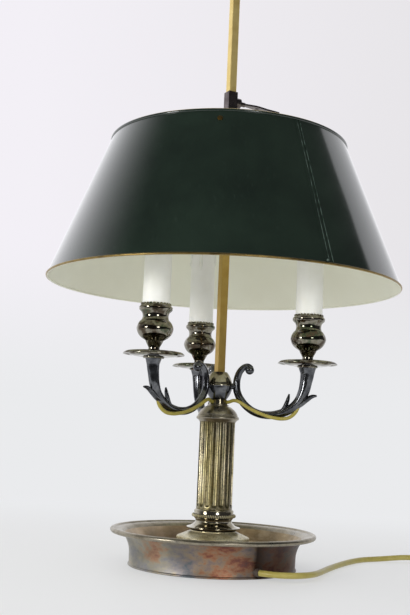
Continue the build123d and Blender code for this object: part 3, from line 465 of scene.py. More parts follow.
def worn_plate_over_brass():
    """Silver plate worn to brass on the column: mottled olive, greyer to the right as painted shade, darker
    in its hollows.
    """
    material, tree, shader, place = new_material(Metallic=1.0)
    cloud = noise(tree, drawn_out(tree, place, 1.0, 1.0, 0.3), 110.0, 3.0, Roughness=0.5)
    pits = noise(tree, place, 600.0, 3.0)
    tint = ramp(tree, cloud, (0.32, "#938a66"), (0.46, "#aca384"), (0.58, "#b6af9b"), (0.7, "#877e6d"))
    # Darker in the hollows, by ambient occlusion.
    hollow = add(tree, "ShaderNodeAmbientOcclusion", {"Distance": 0.003}, samples=8, only_local=True)
    hollow_dark = ramp(tree, hollow.outputs["AO"], (0.35, 0.2), (0.62, 0.5), (0.9, 1.0))
    tone = times(tree, 0.85, tint, times(tree, 1.0, hollow_dark, ramp(tree, pits, (0.36, 0.42), (0.52, 1.0))))
    # Painted shade: the column is drawn paler on its left and greyer and darker on its right.
    across = carry(tree, axes(tree, place)["X"], -0.014, 0.014)
    painted_side_shade = ramp(tree, across, (0.0, "#f2f0e2"), (0.45, "#f6f2e0"), (0.8, "#d4d2cf"))
    rough = ramp(tree, cloud, (0.35, 0.36), (0.65, 0.26))
    surface(tree, shader, times(tree, 1.0, tone, painted_side_shade), rough, (pits, 0.1, 0.0003))
    return material


def stained(metal, rough, sweep, *stops):
    """Spun metal under heat-stained plate: tones swept from left to right that hold stains and a painted side
    light, and blurred patches over them.
    """
    material, tree, shader, place = new_material(Metallic=metal)
    flat = drawn_out(tree, place, 1.0, 1.0, 1.9)
    patch = noise(tree, flat, 27.0, 4.0, Roughness=0.55, Distortion=0.15)
    fine = noise(tree, flat, 150.0, 5.0, Roughness=0.7)
    shadow = noise(tree, place, 46.0, 3.0)
    spot = axes(tree, place)
    warmth = carry(tree, spot["X"], -0.08, -0.01, 0.3, 1.0)
    stain = mixed(tree, warmth, 0.44, mixed(tree, 0.32, patch, fine, "FLOAT"), "FLOAT")
    # The sweep across X is stain colour and painted side light together; the tone is lighter towards the
    # foot.
    along = carry(tree, reckon(tree, "MULTIPLY_ADD", patch, 0.012, spot["X"]), -0.094, 0.106)
    low = carry(tree, spot["Z"], 0.002, 0.02, 1.0, 0.84, "SMOOTHSTEP")
    stains_with_side_light = times(tree, 1.0, ramp(tree, along, *sweep), low)
    tone = times(tree, 1.0, stains_with_side_light, ramp(tree, stain, *stops))
    dim = times(tree, 1.0, tone, ramp(tree, shadow, (0.35, 0.72), (0.6, 1.0)))
    surface(tree, shader, dim, polish(tree, fine, *rough), (fine, 0.12, 0.0004))
    return material


def stained_plate():
    """Heat-stained silver plate outside the dish: cloudy grey, rose and tan stains, then dark purple brown on
    its right side as painted shade.
    """
    # Painted shade: the stops from 0.703 on darken the dish's right side.
    sweep = [(0.0, "#ced4d8"), (0.3, "#ccced0"), (0.5, "#cab7ae"), (0.685, "#b4a8a6"), (0.703, "#4c3f3c"),
             (0.74, "#6a5d5e"), (0.95, "#857c7f")]
    return stained(0.85, (0.52, 0.38), sweep, (0.37, "#8c9ba4"), (0.43, "#b5b1b2"), (0.49, "#cdc3ac"),
                   (0.54, "#d8ab88"), (0.59, "#b37f70"), (0.66, "#8f7b7b"))


def tanned_plate():
    """Plate inside the dish, worn to brass: tan and straw with red-brown stains, paler on its left as painted
    light.
    """
    # Painted light: the pale stops on the left brighten the inside's left.
    sweep = [(0.0, "#f6ece2"), (0.25, "#f4e5d8"), (0.36, "#c9b5a2"), (0.5, "#b4a28a"), (0.8, "#b5a890"),
             (1.0, "#bab09c")]
    return stained(0.6, (0.45, 0.3), sweep, (0.34, "#fff8ea"), (0.44, "#dccdb0"), (0.52, "#f6ecd8"),
                   (0.6, "#b58f79"), (0.7, "#e6dccf"))


def drawn_brass():
    """Satin drawn brass: warm yellow with fine lines along the bar, browner low down and brighter higher up
    as painted shade and light.
    """
    material, tree, shader, place = new_material(Metallic=0.75)
    lines = noise(tree, drawn_out(tree, place, 1.0, 1.0, 0.02), 900.0, 2.0)
    tint = ramp(tree, noise(tree, place, 45.0, 4.0), (0.3, "#e2c475"), (0.5, "#f6dd90"), (0.7, "#e9ce82"))
    # Painted shade and light: the bar is drawn browner below the shade and full yellow above it.
    height_light = carry(tree, axes(tree, place)["Z"], 0.28, 0.44, kind="SMOOTHSTEP")
    tone = times(tree, 1.0, tint, ramp(tree, height_light, (0.0, "#bfb297"), (1.0, "#ffffff")))
    surface(tree, shader, tone, polish(tree, lines, 0.36, 0.46), (lines, 0.06, 0.0002))
    return material


def green_stove_enamel():
    """Baked gloss paint on sheet metal: near black green, a mirror at a glance, rubbed and dented."""
    material, tree, shader, place = new_material(
        **{"IOR": 1.5, "Coat Weight": 1.0, "Coat Roughness": 0.07, "Coat IOR": 1.5})
    cloud = noise(tree, place, 14.0, 5.0, Roughness=0.6)
    tint = ramp(tree, cloud, (0.35, "#131d17"), (0.65, "#1b281f"))
    hair = noise(tree, drawn_out(tree, place, 1.0, 1.0, 0.06, Rotation=(0.5, 0.7, 0.3)), 420.0, 2.0)
    tone = mixed(tree, ramp(tree, hair, (0.66, 0.0), (0.8, 0.16)), tint, colour("#4f5f55"))
    dents = noise(tree, place, 9.0, 1.0)
    rough = ramp(tree, cloud, (0.35, 0.12), (0.7, 0.22))
    surface(tree, shader, tone, rough, (dents, 0.5, 0.0016), ("Normal", "Coat Normal"))
    return material


def worn_enamel_and_highlight():
    """The same paint worn to its undercoat, grey green and dull; along the seam's edges its paleness is also
    a painted highlight.
    """
    return plain(160.0, 4.0, ("#24332b", "#586960"), (0.3, 0.5), (0.4, 0.56), IOR=1.5)


def cream_enamel():
    """Matt baked paint inside the shade: a pale warm cream that throws the light down."""
    return plain(18.0, 4.0, ("#eeeedb", "#f4f5e4"), (0.5, 0.62), IOR=1.45)


def moulded_ivory_plastic():
    """Moulded ivory-white plastic, like wax: soft edges of light and a little shine."""
    return plain(60.0, 4.0, ("#e9e9e2", "#efefea"), (0.38, 0.48), **{
        "IOR": 1.47, "Subsurface Weight": 0.15, "Subsurface Scale": 0.003, "Subsurface Radius": WAX})


def glossy_ivory_drips():
    """The drips of the same plastic, poured on afterwards: wetter gloss, a shade whiter."""
    return plain(160.0, 3.0, ("#e2e3da", "#eff0e8"), (0.14, 0.24), **{
        "IOR": 1.5, "Subsurface Weight": 0.3, "Subsurface Scale": 0.002, "Subsurface Radius": WAX})


def yellowed_pvc_lead():
    """Extruded PVC over copper, yellowed: olive yellow with a soft shine."""
    return plain(90.0, 3.0, ("#8d8238", "#a0944a"), (0.3, 0.4), **SOFT_PVC)


def gold_cord_sheath():
    """Extruded gold-coloured PVC sheath: even old-gold yellow, softly shining."""
    return plain(120.0, 3.0, ("#9a8d46", "#aa9f57"), (0.3, 0.4), **SOFT_PVC)


def gold_moulded_plastic():
    """Injection-moulded ABS in a dull gold, as lamp switches and plugs are sold: fine satin grain."""
    material, tree, shader, place = new_material(IOR=1.52)
    grain = noise(tree, place, 1500.0, 2.0)
    tone = ramp(tree, noise(tree, place, 60.0, 3.0), (0.3, "#a8935a"), (0.7, "#b39e64"))
    surface(tree, shader, tone, polish(tree, grain, 0.36, 0.5), (grain, 0.1, 0.0001))
    return material


def black_bakelite():
    """Pressed phenolic resin for the lampholders and the block: black with a low shine."""
    return plain(200.0, 3.0, ("#191817", "#26231f"), (0.3, 0.45), IOR=1.6)


def bright_steel():
    """Zinc-plated steel for the tubes, nut and washer: pale grey, faintly streaked."""
    return plain(250.0, 4.0, ("#9a9ea0", "#b9bcbc"), (0.25, 0.4), Metallic=1.0)


def nickel_pins():
    """Nickel-plated brass for the plug's pins: bright, a little warm, with fine scratches from use."""
    return plain(1800.0, 2.0, ("#a9a69c", "#c8c5bb"), (0.16, 0.3), along=(1.0, 0.05, 1.0),
                 Metallic=1.0)


def green_felt():
    """Pressed wool felt under the base: deep green, no shine, with a loose nap."""
    return plain(1200.0, 4.0, ("#1c3a2a", "#2f5540"), (0.9, 1.0), grit=0.7,
                 relief=(0.8, 0.0005), **{"IOR": 1.4, "Sheen Weight": 0.5})


def cast_iron():
    """Sand-cast iron for the ballast ring: dark grey with a coarse skin and traces of rust."""
    return plain(500.0, 5.0, ("#4a3a30", "#3c3b3a"), (0.85, 0.65), (0.35, 0.6),
                 relief=(0.6, 0.0006), Metallic=0.7)


def black_rubber():
    """Moulded rubber for the cord's bush: dull brown-black."""
    return plain(600.0, 3.0, ("#3c322b", "#4a3f36"), (0.6, 0.75), IOR=1.52)


# --- settings ---

def count_of(name, description, default, least, most):
    return bpy.props.IntProperty(name=name, description=description, default=default, min=least, max=most)


class LampSizes(bpy.types.PropertyGroup):
    steps: count_of("Lathe steps", "Steps round each pan and cup", 96, 24, 192)
    strands: count_of("Beads", "Slanted beads in the ring under the column", 56, 24, 96)
    knurls: count_of("Knurls", "Teeth of the milled band on the column's foot", 96, 24, 160)
    crimps: count_of("Gallery crimps", "Teeth of the gallery round each candle", 26, 12, 48)
    drips: count_of("Wax drips", "Drips moulded round each candle sleeve", 7, 0, 12)


class LampColours(bpy.types.PropertyGroup):
    backdrop: bpy.props.FloatVectorProperty(name="Backdrop", description="Colour of the studio's backdrop",
                                            subtype="COLOR", size=4, default=colour("#eaebed"), min=0, max=1)
    table: bpy.props.FloatVectorProperty(name="Table", description="Colour of the table under the lamp",
                                         subtype="COLOR", size=4, default=colour("#f1f1ee"), min=0, max=1)


# --- stage, light and camera ---

# The camera's place in metres, its three angles, and its lens and sensor in millimetres.
CAMERA_AT, PITCH, YAW, ROLL = (0.00832, -0.95126, 0.1287), radians(7.37), radians(-1.54), radians(2.5)
LENS, SENSOR_HEIGHT, AIM_HEIGHT = 56.286, 36.0, 0.2

# Each lamp: azimuth and height in degrees, distance and size in metres, watts, and whether metal shows it.
SOFTBOXES = {
    "softbox_left": (-52.0, 6.0, 2.0, 0.5, 12.0, True),
    "softbox_right": (22.0, 7.0, 2.0, 0.5, 6.0, True),
    "fill_front": (-12.0, 3.0, 2.2, 0.9, 8.0, False),
    "window_left": (-112.0, 34.0, 2.4, 2.2, 9.0, False),
}


class LAMP_OT_stage(bpy.types.Operator):
    """Table and backdrop, four soft lamps, the world and the camera"""
    bl_idname = "lamp.stage"
    bl_label = "Stage"

    def execute(self, context):
        tones = context.scene.lamp_colours
        self.camera(context)
        self.table(tones)
        self.world(context, tones)
        for name, settings in SOFTBOXES.items():
            self.softbox(name, *settings)
        context.scene.view_settings.view_transform = "Standard"
        return {"FINISHED"}

    def camera(self, context):
        lens = bpy.data.cameras.new("camera")
        lens.sensor_fit = "VERTICAL"
        lens.sensor_height = SENSOR_HEIGHT
        lens.lens = LENS
        camera = bpy.data.objects.new("camera", lens)
        context.collection.objects.link(camera)
        ahead = Vector((sin(YAW) * cos(PITCH), cos(YAW) * cos(PITCH), sin(PITCH)))
        right = Vector((cos(YAW), -sin(YAW), 0))
        up = right.cross(ahead)
        across = right * cos(ROLL) + up * sin(ROLL)
        upright = up * cos(ROLL) - right * sin(ROLL)
        turn_to = Matrix((across, upright, -ahead)).transposed().to_4x4()
        camera.matrix_world = Matrix.Translation(CAMERA_AT) @ turn_to
        context.scene.camera = camera

    def table(self, tones):
        """The table, which fades into the backdrop at its far side, its ends and its front."""
        clear()
        bpy.ops.mesh.primitive_plane_add(size=1, location=(0, 1.75, 0))
        table = bpy.context.object
        table.scale = (5.0, 4.5, 1.0)
        settle(table, "table")
        material, tree, shader, place = new_material(Roughness=0.55, IOR=1.45)
        material.name = "painted_board"
        shade = mixed(tree, noise(tree, place, 8.0, 3.0), tones.table, colour("#eeeeea"))
        tree.links.new(shade, shader.inputs["Base Color"])
        spot = axes(tree, place)
        away = carry(tree, spot["Y"], 0.15, 0.7, kind="SMOOTHSTEP")
        aside = carry(tree, reckon(tree, "ABSOLUTE", spot["X"]), 0.6, 1.3, kind="SMOOTHSTEP")
        front = carry(tree, spot["Y"], -0.3, -0.48, kind="SMOOTHSTEP")
        edge = reckon(tree, "MAXIMUM", reckon(tree, "MAXIMUM", away, aside), front)
        glow = add(tree, "ShaderNodeEmission", {"Color": tones.backdrop, "Strength": 1.0})
        both = add(tree, "ShaderNodeMixShader", {0: carry(tree, edge, 0.0, 1.0, 0.55, 1.0),
                                                 1: shader.outputs["BSDF"], 2: glow.outputs["Emission"]})
        out = next(n for n in tree.nodes if n.type == "OUTPUT_MATERIAL")
        tree.links.new(both.outputs["Shader"], out.inputs["Surface"])
        table.data.materials.append(material)

    def world(self, context, tones):
        """The backdrop, the soft light of the room, and what metal mirrors."""
        world = bpy.data.worlds.new("studio")
        context.scene.world = world
        world.use_nodes = True
        tree = world.node_tree
        tree.nodes.clear()
        path = add(tree, "ShaderNodeLightPath").outputs
        ray = axes(tree, add(tree, "ShaderNodeTexCoord").outputs["Generated"])
        # A mirror sees a dark room in front, a wall that brightens to the left, and the backdrop behind.
        west = reckon(tree, "MULTIPLY_ADD", ray["X"], -0.4, ray["Y"])
        wall = carry(tree, west, 0.05, 0.98, 0.05, 1.1, "SMOOTHSTEP")
        rear = reckon(tree, "MULTIPLY_ADD", reckon(tree, "ABSOLUTE", ray["X"]), -0.54, ray["Y"])
        drop = carry(tree, rear, -0.01, 0.03, 0.05, 0.76, "SMOOTHSTEP")
        high = mixed(tree, carry(tree, ray["X"], -0.2, 0.2), colour("#f3f0f6"), colour("#e7e5e8"))
        rise = carry(tree, ray["Z"], 0.02, 0.2, kind="SMOOTHSTEP")
        lit = carry(tree, ray["X"], -1.0, 1.0, 1.18, 0.62)
        room, mirrored, seen = (
            add(tree, "ShaderNodeBackground", {"Color": tone, "Strength": strength}).outputs[0]
            for tone, strength in ((colour("#dcdce0"), lit),
                                   (colour("#fbfbff"), reckon(tree, "MAXIMUM", wall, drop)),
                                   (mixed(tree, rise, tones.backdrop, high), 1.0)))
        first = add(tree, "ShaderNodeMixShader", {0: path["Is Glossy Ray"], 1: room, 2: mirrored})
        clear_way = reckon(tree, "MAXIMUM", path["Is Camera Ray"], path["Is Transmission Ray"])
        both = add(tree, "ShaderNodeMixShader", {0: clear_way, 1: first.outputs[0], 2: seen})
        add(tree, "ShaderNodeOutputWorld", {"Surface": both.outputs[0]})

    def softbox(self, name, azimuth, height, distance, size, power, mirrored):
        """A round area lamp aimed at the hub; azimuth 0 is on the camera's side."""
        lamp = bpy.data.lights.new(name, "AREA")
        lamp.shape = "DISK"
        lamp.size = size
        lamp.energy = power
        lamp.color = (1.0, 0.99, 0.97)
        obj = bpy.data.objects.new(name, lamp)
        bpy.context.collection.objects.link(obj)
        a, h = radians(azimuth), radians(height)
        way = Vector((sin(a) * cos(h), -cos(a) * cos(h), sin(h)))
        obj.location = Vector((0, 0, AIM_HEIGHT)) + way * distance
        obj.rotation_euler = (-way).to_track_quat("-Z", "Y").to_euler()
        obj.visible_glossy = mirrored


# --- cord, switch and plug ---

# The cord's route in millimetres: out of the base, to the switch, round into the coil, and off to the plug.
CORD_OUT = [
    (41.203, -68.573, 6.2), (51.4, -75.98, 6.2), (65.5, -79.6, 6.2), (79.5, -75.6, 6.2), (90.5, -63.5, 5.8),
    (98.5, -44.0, 4.9), (106.5, -15.0, 3.5), (119.0, 21.0, 2.75), (138.5, 62.0, 2.75), (156.5, 89.5, 2.75),
    (178.5, 103.4, 2.75), (203.0, 104.0, 5.5), (218.0, 104.0, 5.5), (278.0, 104.0, 5.5), (294.7, 104.0, 5.5),
    (309.163, 95.65, 3.4), (317.513, 81.187, 2.75), (318.213, 60.0, 2.75), (318.213, 46.0, 2.75),
]
CORD_TO_PLUG = [
    (313.043, -8.696, 8.35), (310.982, -19.501, 8.35), (309.782, -33.501, 4.4), (310.582, -47.501, 2.85),
    (312.582, -61.501, 4.4), (313.182, -74.501, 7.0), (313.182, -86.501, 7.0),
]
COIL_X, COIL_Y, COIL_R, COIL_PITCH, COIL_TURNS, POINTS_PER_TURN = 280.213, 22.0, 38.0, 5.6, 7.03, 16
COIL_INSET = 0.981       # the share of its points' radius at which the smooth cord runs
CLIMB = 0.12             # the share of a turn in which the cord climbs on to its lower layer


def coil_spot(turns):
    """A point of the coil's two layers: in on the table, then out on top of it."""
    half = COIL_TURNS / 2
    inward = turns if turns < half else 2 * half - turns
    r = (COIL_R - COIL_PITCH * inward) / COIL_INSET
    angle = -2 * pi * turns
    layer = min(max((turns - half + CLIMB / 2) / CLIMB, 0.0), 1.0)
    return (COIL_X + r * cos(angle), COIL_Y + r * sin(angle), CORD_R + COIL_PITCH * layer)


class LAMP_OT_cord(bpy.types.Operator):
    """Mains cord on the table, through its switch, wound into a coil and on to its plug"""
    bl_idname = "lamp.cord"
    bl_label = "Mains Cord"

    def execute(self, context):
        parts = ceil(COIL_TURNS * POINTS_PER_TURN)
        laps = [coil_spot(COIL_TURNS * n / parts) for n in range(parts + 1)]
        route = CORD_OUT + laps + CORD_TO_PLUG
        clear()
        bpy.ops.curve.primitive_nurbs_path_add(location=(0, 0, 0))
        cord = bpy.context.object
        cord.data.splines.remove(cord.data.splines[0])
        line = cord.data.splines.new("NURBS")
        line.points.add(len(route) - 1)
        for knot, place in zip(line.points, route):
            knot.co = (*(Vector(place) * MM), 1.0)
        line.order_u = 3
        line.use_endpoint_u = True
        line.resolution_u = 6
        cord.data.bevel_depth = CORD_R * MM
        cord.data.bevel_resolution = 6
        cord.data.use_fill_caps = True
        cord.name = cord.data.name = "mains_cord"
        dress(cord, gold_cord_sheath)
        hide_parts("cord_to_switch", "cord_to_coil", "cord_coil", "cord_to_plug")
        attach(cord, "base")
        return {"FINISHED"}


# --- base ---

class LAMP_OT_dish(bpy.types.Operator):
    """Spun dish with its rolled rim"""
    bl_idname = "lamp.dish"
    bl_label = "Dish"

    def execute(self, context):
        wall_in, under, low = BASE_R - DISH_SHEET, FLOOR_Z - DISH_SHEET, 0.5
        roll = [(RIM_R + ROLL_R * cos(radians(a)), RIM_Z + ROLL_R * sin(radians(a)))
                for a in range(-130, 166, 18)]
        dish = turn("dish", profile(
            (TIE_BORE_R, under), (wall_in - 1, under), (wall_in, under - 1), (wall_in, low),
            (BASE_R + 0.8, low), ((BASE_R + 1.0, 1.5), (BASE_R, 2.4)), (BASE_R + 0.2, RIM_Z * 0.3),
            ((BASE_R + 2.2, RIM_Z * 0.66), (FLANGE_R, RIM_Z - 2.2)), (RIM_R - 3.0, RIM_Z - 1.4), *roll,
            (RIM_R - 4.0, RIM_Z + 1.0), (FLANGE_R + 0.5, RIM_Z + 0.2),
            ((BASE_R + 0.9, RIM_Z * 0.68), (wall_in + 0.3, FLOOR_Z + 2.0)),
            ((wall_in - 0.4, FLOOR_Z + 0.7), (wall_in - 1.6, FLOOR_Z)), (TIE_BORE_R, FLOOR_Z)), 128)
        ease(dish, 0.15, 40)
        dress(dish, stained_plate, tanned_plate, rubbed_silver_plate)
        for face in dish.data.polygons:
            if face.center.z > (RIM_Z - 2.6) * MM:
                face.material_index = 2
            elif face.center.z > (FLOOR_Z - 0.5) * MM and outward(face) <= 0:
                face.material_index = 1
        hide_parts("base_dish")
        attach(dish, "base")
        return {"FINISHED"}


class LAMP_OT_column(bpy.types.Operator):
    """Turned foot, beaded ring and cap of the column, and the hub above it"""
    bl_idname = "lamp.column"
    bl_label = "Column and Hub"

    def execute(self, context):
        sizes = context.scene.lamp_sizes
        foot = turn("column_foot_turned", profile(
            (TIE_BORE_R, 0), (FOOT_R, 0), (FOOT_R, 2.5), (36.5, 4),
            ((33.8, 6.5), (33.9, 10.5)), (35.1, 11.4), (35.1, 14.6), (34.3, 15.4),
            (33.4, 15.6), (24.6, 19.4), (22, 19.8), (22, 21), (TIE_BORE_R, 21), lift=FLOOR_Z))
        ease(foot, 0.25)
        knurl = ball(1.0, (KNURL_R, 0, KNURL_Z), 8, 6, (0.8, 0.95, 1.7))
        join("column_foot_turned", foot, ring_of(knurl, sizes.knurls))
        ring = turn("column_ring_turned", profile(
            (TIE_BORE_R, 0), (22, 0), (22, 1.8), (25.9, 1.8), (25.9, 3),
            ((20.1, 5.4), (COLUMN_R, 8.2)), (COLUMN_R, 10), (19.2, 12.2), (19.6, 12.8),
            (19.7, 14), (19.6, 15.2), (19.2, 15.8), (19.1, 16), (19.3, 18.8),
            (18.3, 20), (TIE_BORE_R, 20), lift=RING_Z))
        ease(ring, 0.25)
        bead = ball(1.0, (BEAD_R, 0, BEAD_Z), 10, 8, (1.35, 0.82, 1.7), 30)
        join("column_ring_turned", ring, ring_of(bead, sizes.strands))
        cap = turn("column_cap_turned", profile(
            (TIE_BORE_R, 0), (17.8, 0), (18.8, 1.6), (19.8, 2.2), ((21, 4.0), (20.1, 5.6)),
            (19.5, 5.6), (19.5, 6.1), (19.8, 6.4), (19.5, 6.8), (19.1, 7.0),
            (19.3, 7.4), ((16.0, 12.0), (11.8, 15.0)), (10.2, 15.6), (10.2, 17),
            (TIE_BORE_R, 17), lift=CAP_Z))
        ease(cap, 0.2)
        z = EQUATOR_Z
        hub = turn("hub_turned", profile(
            (HUB_BORE_R, HUB_Z), (7.6, HUB_Z), ((11.3, z - 7.9), (HUB_R, z)), (HUB_LINE_R, z),
            (HUB_LINE_R, z + 0.9), (HUB_R, z + 0.9), ((11.1, z + 8.4), (7.6, HUB_TOP_Z)),
            (HUB_BORE_R, HUB_TOP_Z), parts=16))
        ease(hub, 0.12, 30)
        for piece, makers, slot, nodes in (
                (foot, [straw_silver_plate], "worn_plate", ["column_foot"]),
                (ring, [dulled_silver_plate, straw_silver_plate, recess_shade_black], "worn_plate",
                 ["column_ring"]),
                (self.shaft(), [worn_plate_over_brass], "column_plate", ["fluted_column"]),
                (cap, [rubbed_silver_plate], "worn_plate", ["column_cap"]),
                (hub, [blackened_silver_plate, dulled_silver_plate], "worn_plate",
                 ["hub_lower", "hub_upper"])):
            dress(piece, *makers)
            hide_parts(*nodes)
            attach(piece, "base")
        # Painted shade: the ring's recesses take brown black; the beads take the paler straw plate, worn
        # plate and painted highlight together.
        for face in ring.data.polygons:
            r, z = hypot(face.center.x, face.center.y) / MM, face.center.z / MM
            recess = z < 36.9 or 47.4 < z < 50.6 and 19.3 < r < 19.9
            face.material_index = 2 if recess else int(r > 19.9 and z > 45)
        # Painted light and shade: the hub's upper half takes the paler plate, its lower half the blackened
        # one.
        for face in hub.data.polygons:
            face.material_index = int(face.center.z > EQUATOR_Z * MM)
        return {"FINISHED"}

    def shaft(self):
        """The shaft: a tube with hollows cut up its length, round at the foot and open under the cap."""
        z, top, depth = COLUMN_Z, CAP_Z, FLUTE_R
        shaft = turn("column_shaft", [
            (COLUMN_BORE_R, z), (COLUMN_R, z), (COLUMN_R, top), (COLUMN_BORE_R, top)], 128)
        flute = turn("flute", profile(
            (0.0, z + 2.4), ((2.05, z + 3.25), (depth, z + 5.3)), (depth, top + 2), (0.0, top + 2), parts=6),
            24, FLUTE_AT)
        ring_of(flute, FLUTES)
        modify(shaft, "BOOLEAN", operation="DIFFERENCE", object=flute, solver="EXACT")
        discard(flute)
        return ease(shaft, 0.28, 30)


# --- arms, pans, cups and candles ---

class LAMP_OT_arms(bpy.types.Operator):
    """Three cast scroll arms with their leaves"""
    bl_idname = "lamp.arms"
    bl_label = "Scroll Arms"

    def execute(self, context):
        touch = HUB_R + 4.3
        span = ARM_REACH - touch
        # Each point's share of the span, its height over the hub's equator, and the bar's thickness there.
        shape = [
            (0.196, 14.8, 3.4), (0.206, 17.6, 4.4), (0.180, 19.6, 5.0), (0.136, 20.0, 5.6),
            (0.062, 16.4, 6.4), (0.016, 10.2, 7.0), (0.0, 0.0, 7.4), (0.020, -6.7, 7.4),
            (0.086, -14.3, 7.4), (0.180, -20.7, 7.4), (0.294, -25.0, 7.5), (0.436, -26.9, 7.6),
            (0.594, -25.8, 8.0), (0.752, -21.5, 8.8), (0.880, -14.0, 9.8), (0.951, -4.6, 11.0),
            (0.985, 5.9, 12.0), (1.0, 14.0, 13.6), (1.0, 19.5, 17.0),
        ]
        ribbed = round_section(1.0, 1.0, 0.86)
        scroll = stroke([(touch + span * a, 0, EQUATOR_Z + b) for a, b, _ in shape], [d for _, _, d in shape],
                        ribbed, 6)
        blade = round_section(1.0, 0.72, 0.86)
        inner, outer, z = ARM_REACH - 20.5, ARM_REACH - 4.5, EQUATOR_Z
        spike = stroke([(inner - 5.0, 0, z - 24.6), (inner - 1.4, 0, z - 20.6), (inner + 1.0, 0, z - 15.4),
                        (inner + 2.6, 0, z - 10.4), (inner + 3.5, 0, z - 5.8)],
                       [6.0, 6.4, 6.0, 4.9, 2.2], blade, 6)
        curl = stroke([(outer - 8.0, 0, z - 20.0), (outer - 0.2, 0, z - 14.8), (outer + 5.2, 0, z - 10.6),
                       (outer + 10.0, 0, z - 7.6), (outer + 14.4, 0, z - 6.8)],
                      [7.2, 7.2, 6.7, 5.4, 2.6], blade, 6)
        knob = ball(BALL_R, (touch + span * 0.136 + 3.2, 0, z + 16.2), 24, 16, (1.0, 0.92, 1.0))
        clear()
        bpy.ops.mesh.primitive_cylinder_add(vertices=16, radius=TENON_R * MM, depth=8.0 * MM,
                                            rotation=(0, pi / 2, 0), location=(15.0 * MM, 0, z * MM))
        tenon = settle(context.object)
        arm = join("arm", scroll, spike, curl, knob, tenon)
        discard(ribbed, blade)
        ease(arm, 0, 50)
        dress(arm, blackened_silver_plate)
        round_the_hub(arm, "scroll_arm", "arm_")
        return {"FINISHED"}


class LAMP_OT_cups(bpy.types.Operator):
    """Three drip pans and three urn cups with crimped galleries"""
    bl_idname = "lamp.cups"
    bl_label = "Pans and Cups"

    def execute(self, context):
        sizes = context.scene.lamp_sizes
        pan = turn("pan", profile(
            (CUP_BORE_R, 0), (9.2, 0), (10, 0.8), (10, 1.6), (9, 2.4),
            ((17.8, 2.0), (22.75, 3.2)), (24.15, 5.2), ((26.15, 4.8), (PAN_R, 3.6)),
            (PAN_R, 4.2), ((26.35, 6.2), (24.35, 6.6)), (22.15, 4.8),
            ((17.8, 3.5), (10, 4.2)), (CUP_BORE_R, 4.2), lift=SEAT_Z), sizes.steps, ARM_REACH)
        ease(pan, 0.2)
        z, h, edge = CUP_Z, CUP_H, GALLERY_AT
        cup = turn("cup", profile(
            (CUP_BORE_R, z), (7.6, z), (8.0, z + 0.024 * h), (5.45, z + 0.068 * h), (5.25, z + 0.124 * h),
            (7.8, z + 0.216 * h), (8.2, z + 0.244 * h), (9.8, z + 0.267 * h),
            ((15.7, z + 0.375 * h), (17.3, z + 0.467 * h)), ((16.3, z + 0.547 * h), (12.9, z + 0.635 * h)),
            ((12.2, z + 0.707 * h), (13.1, z + 0.774 * h)), (15.6, z + 0.822 * h), (15.9, z + 0.862 * h),
            (15.2, z + 0.885 * h), (14.3, z + 0.9 * h), (14.2, z + edge * h), (13.3, z + edge * h),
            (13.3, SLEEVE_Z), (CUP_BORE_R, SLEEVE_Z), parts=9), sizes.steps, ARM_REACH)
        ease(cup, 0.3, 30)
        clear()
        bpy.ops.mesh.primitive_cone_add(
            vertices=6, radius1=1.7 * MM, radius2=1.0 * MM, depth=1.5 * MM,
            location=((ARM_REACH + 13.8) * MM, 0, (z + edge * h + 0.65) * MM))
        crimp = context.object
        crimp.scale = (0.38, 1.0, 1.0)
        join("cup", cup, ring_of(settle(crimp), sizes.crimps, ARM_REACH))
        for obj, stem, node in ((pan, "drip_pan", "pan_"), (cup, "urn_cup", "cup_")):
            dress(obj, tarnished_silver_plate)
            round_the_hub(obj, stem, node)
        return {"FINISHED"}


DRIP_LENGTHS = (16.0, 27.0, 21.0, 30.0, 12.0, 24.0, 18.0)
DRIP_SIZES = (1.5, 1.9, 1.6, 1.8)


class LAMP_OT_candles(bpy.types.Operator):
    """Three candle sleeves with moulded drips"""
    bl_idname = "lamp.candles"
    bl_label = "Candle Sleeves"

    def execute(self, context):
        top, r = SLEEVE_TOP_Z, SLEEVE_R - 0.1
        sleeve = turn("sleeve", profile(
            (SLEEVE_BORE_R, SLEEVE_Z), (SLEEVE_R, SLEEVE_Z), (12.95, 280), (r, top - 16), (r, top - 1.0),
            ((12.7, top - 0.2), (12.2, top)), (SLEEVE_BORE_R, top - 0.4)), 64, ARM_REACH)
        ease(sleeve, 0, 40)
        dress(sleeve, moulded_ivory_plastic)
        count = context.scene.lamp_sizes.drips
        sleeve = join("sleeve", sleeve, *[self.drip(n, count) for n in range(count)])
        round_the_hub(sleeve, "candle_tube", "candle_sleeve_")
        return {"FINISHED"}

    def drip(self, number, count):
        """A run of wax down from the candle's top edge, ending in a drop."""
        a = 2 * pi * (number + 0.3 * sin(number * 2.1)) / count
        length, size = DRIP_LENGTHS[number % len(DRIP_LENGTHS)], DRIP_SIZES[number % len(DRIP_SIZES)]
        top, r = SLEEVE_TOP_Z - 0.8, SLEEVE_R - 0.5
        outline = round_section(1.0, 1.0, 0.95)
        run = stroke([(ARM_REACH + r * cos(a), r * sin(a), top - length * f) for f in (0.0, 0.35, 0.8, 1.0)],
                     [2.3 * size, 1.4 * size, 2.3 * size, 0.8 * size], outline, 6)
        discard(outline)
        return dress(ease(run, 0, 50), glossy_ivory_drips)


# --- shade ---

# Azimuths round the shade and the lap's width, in degrees.
LAP_AT, LAP_ANGLE, LAP_EDGES_AT, SOLDER_AT = 301.2, 1.4, (301.12, 302.5), 300.5


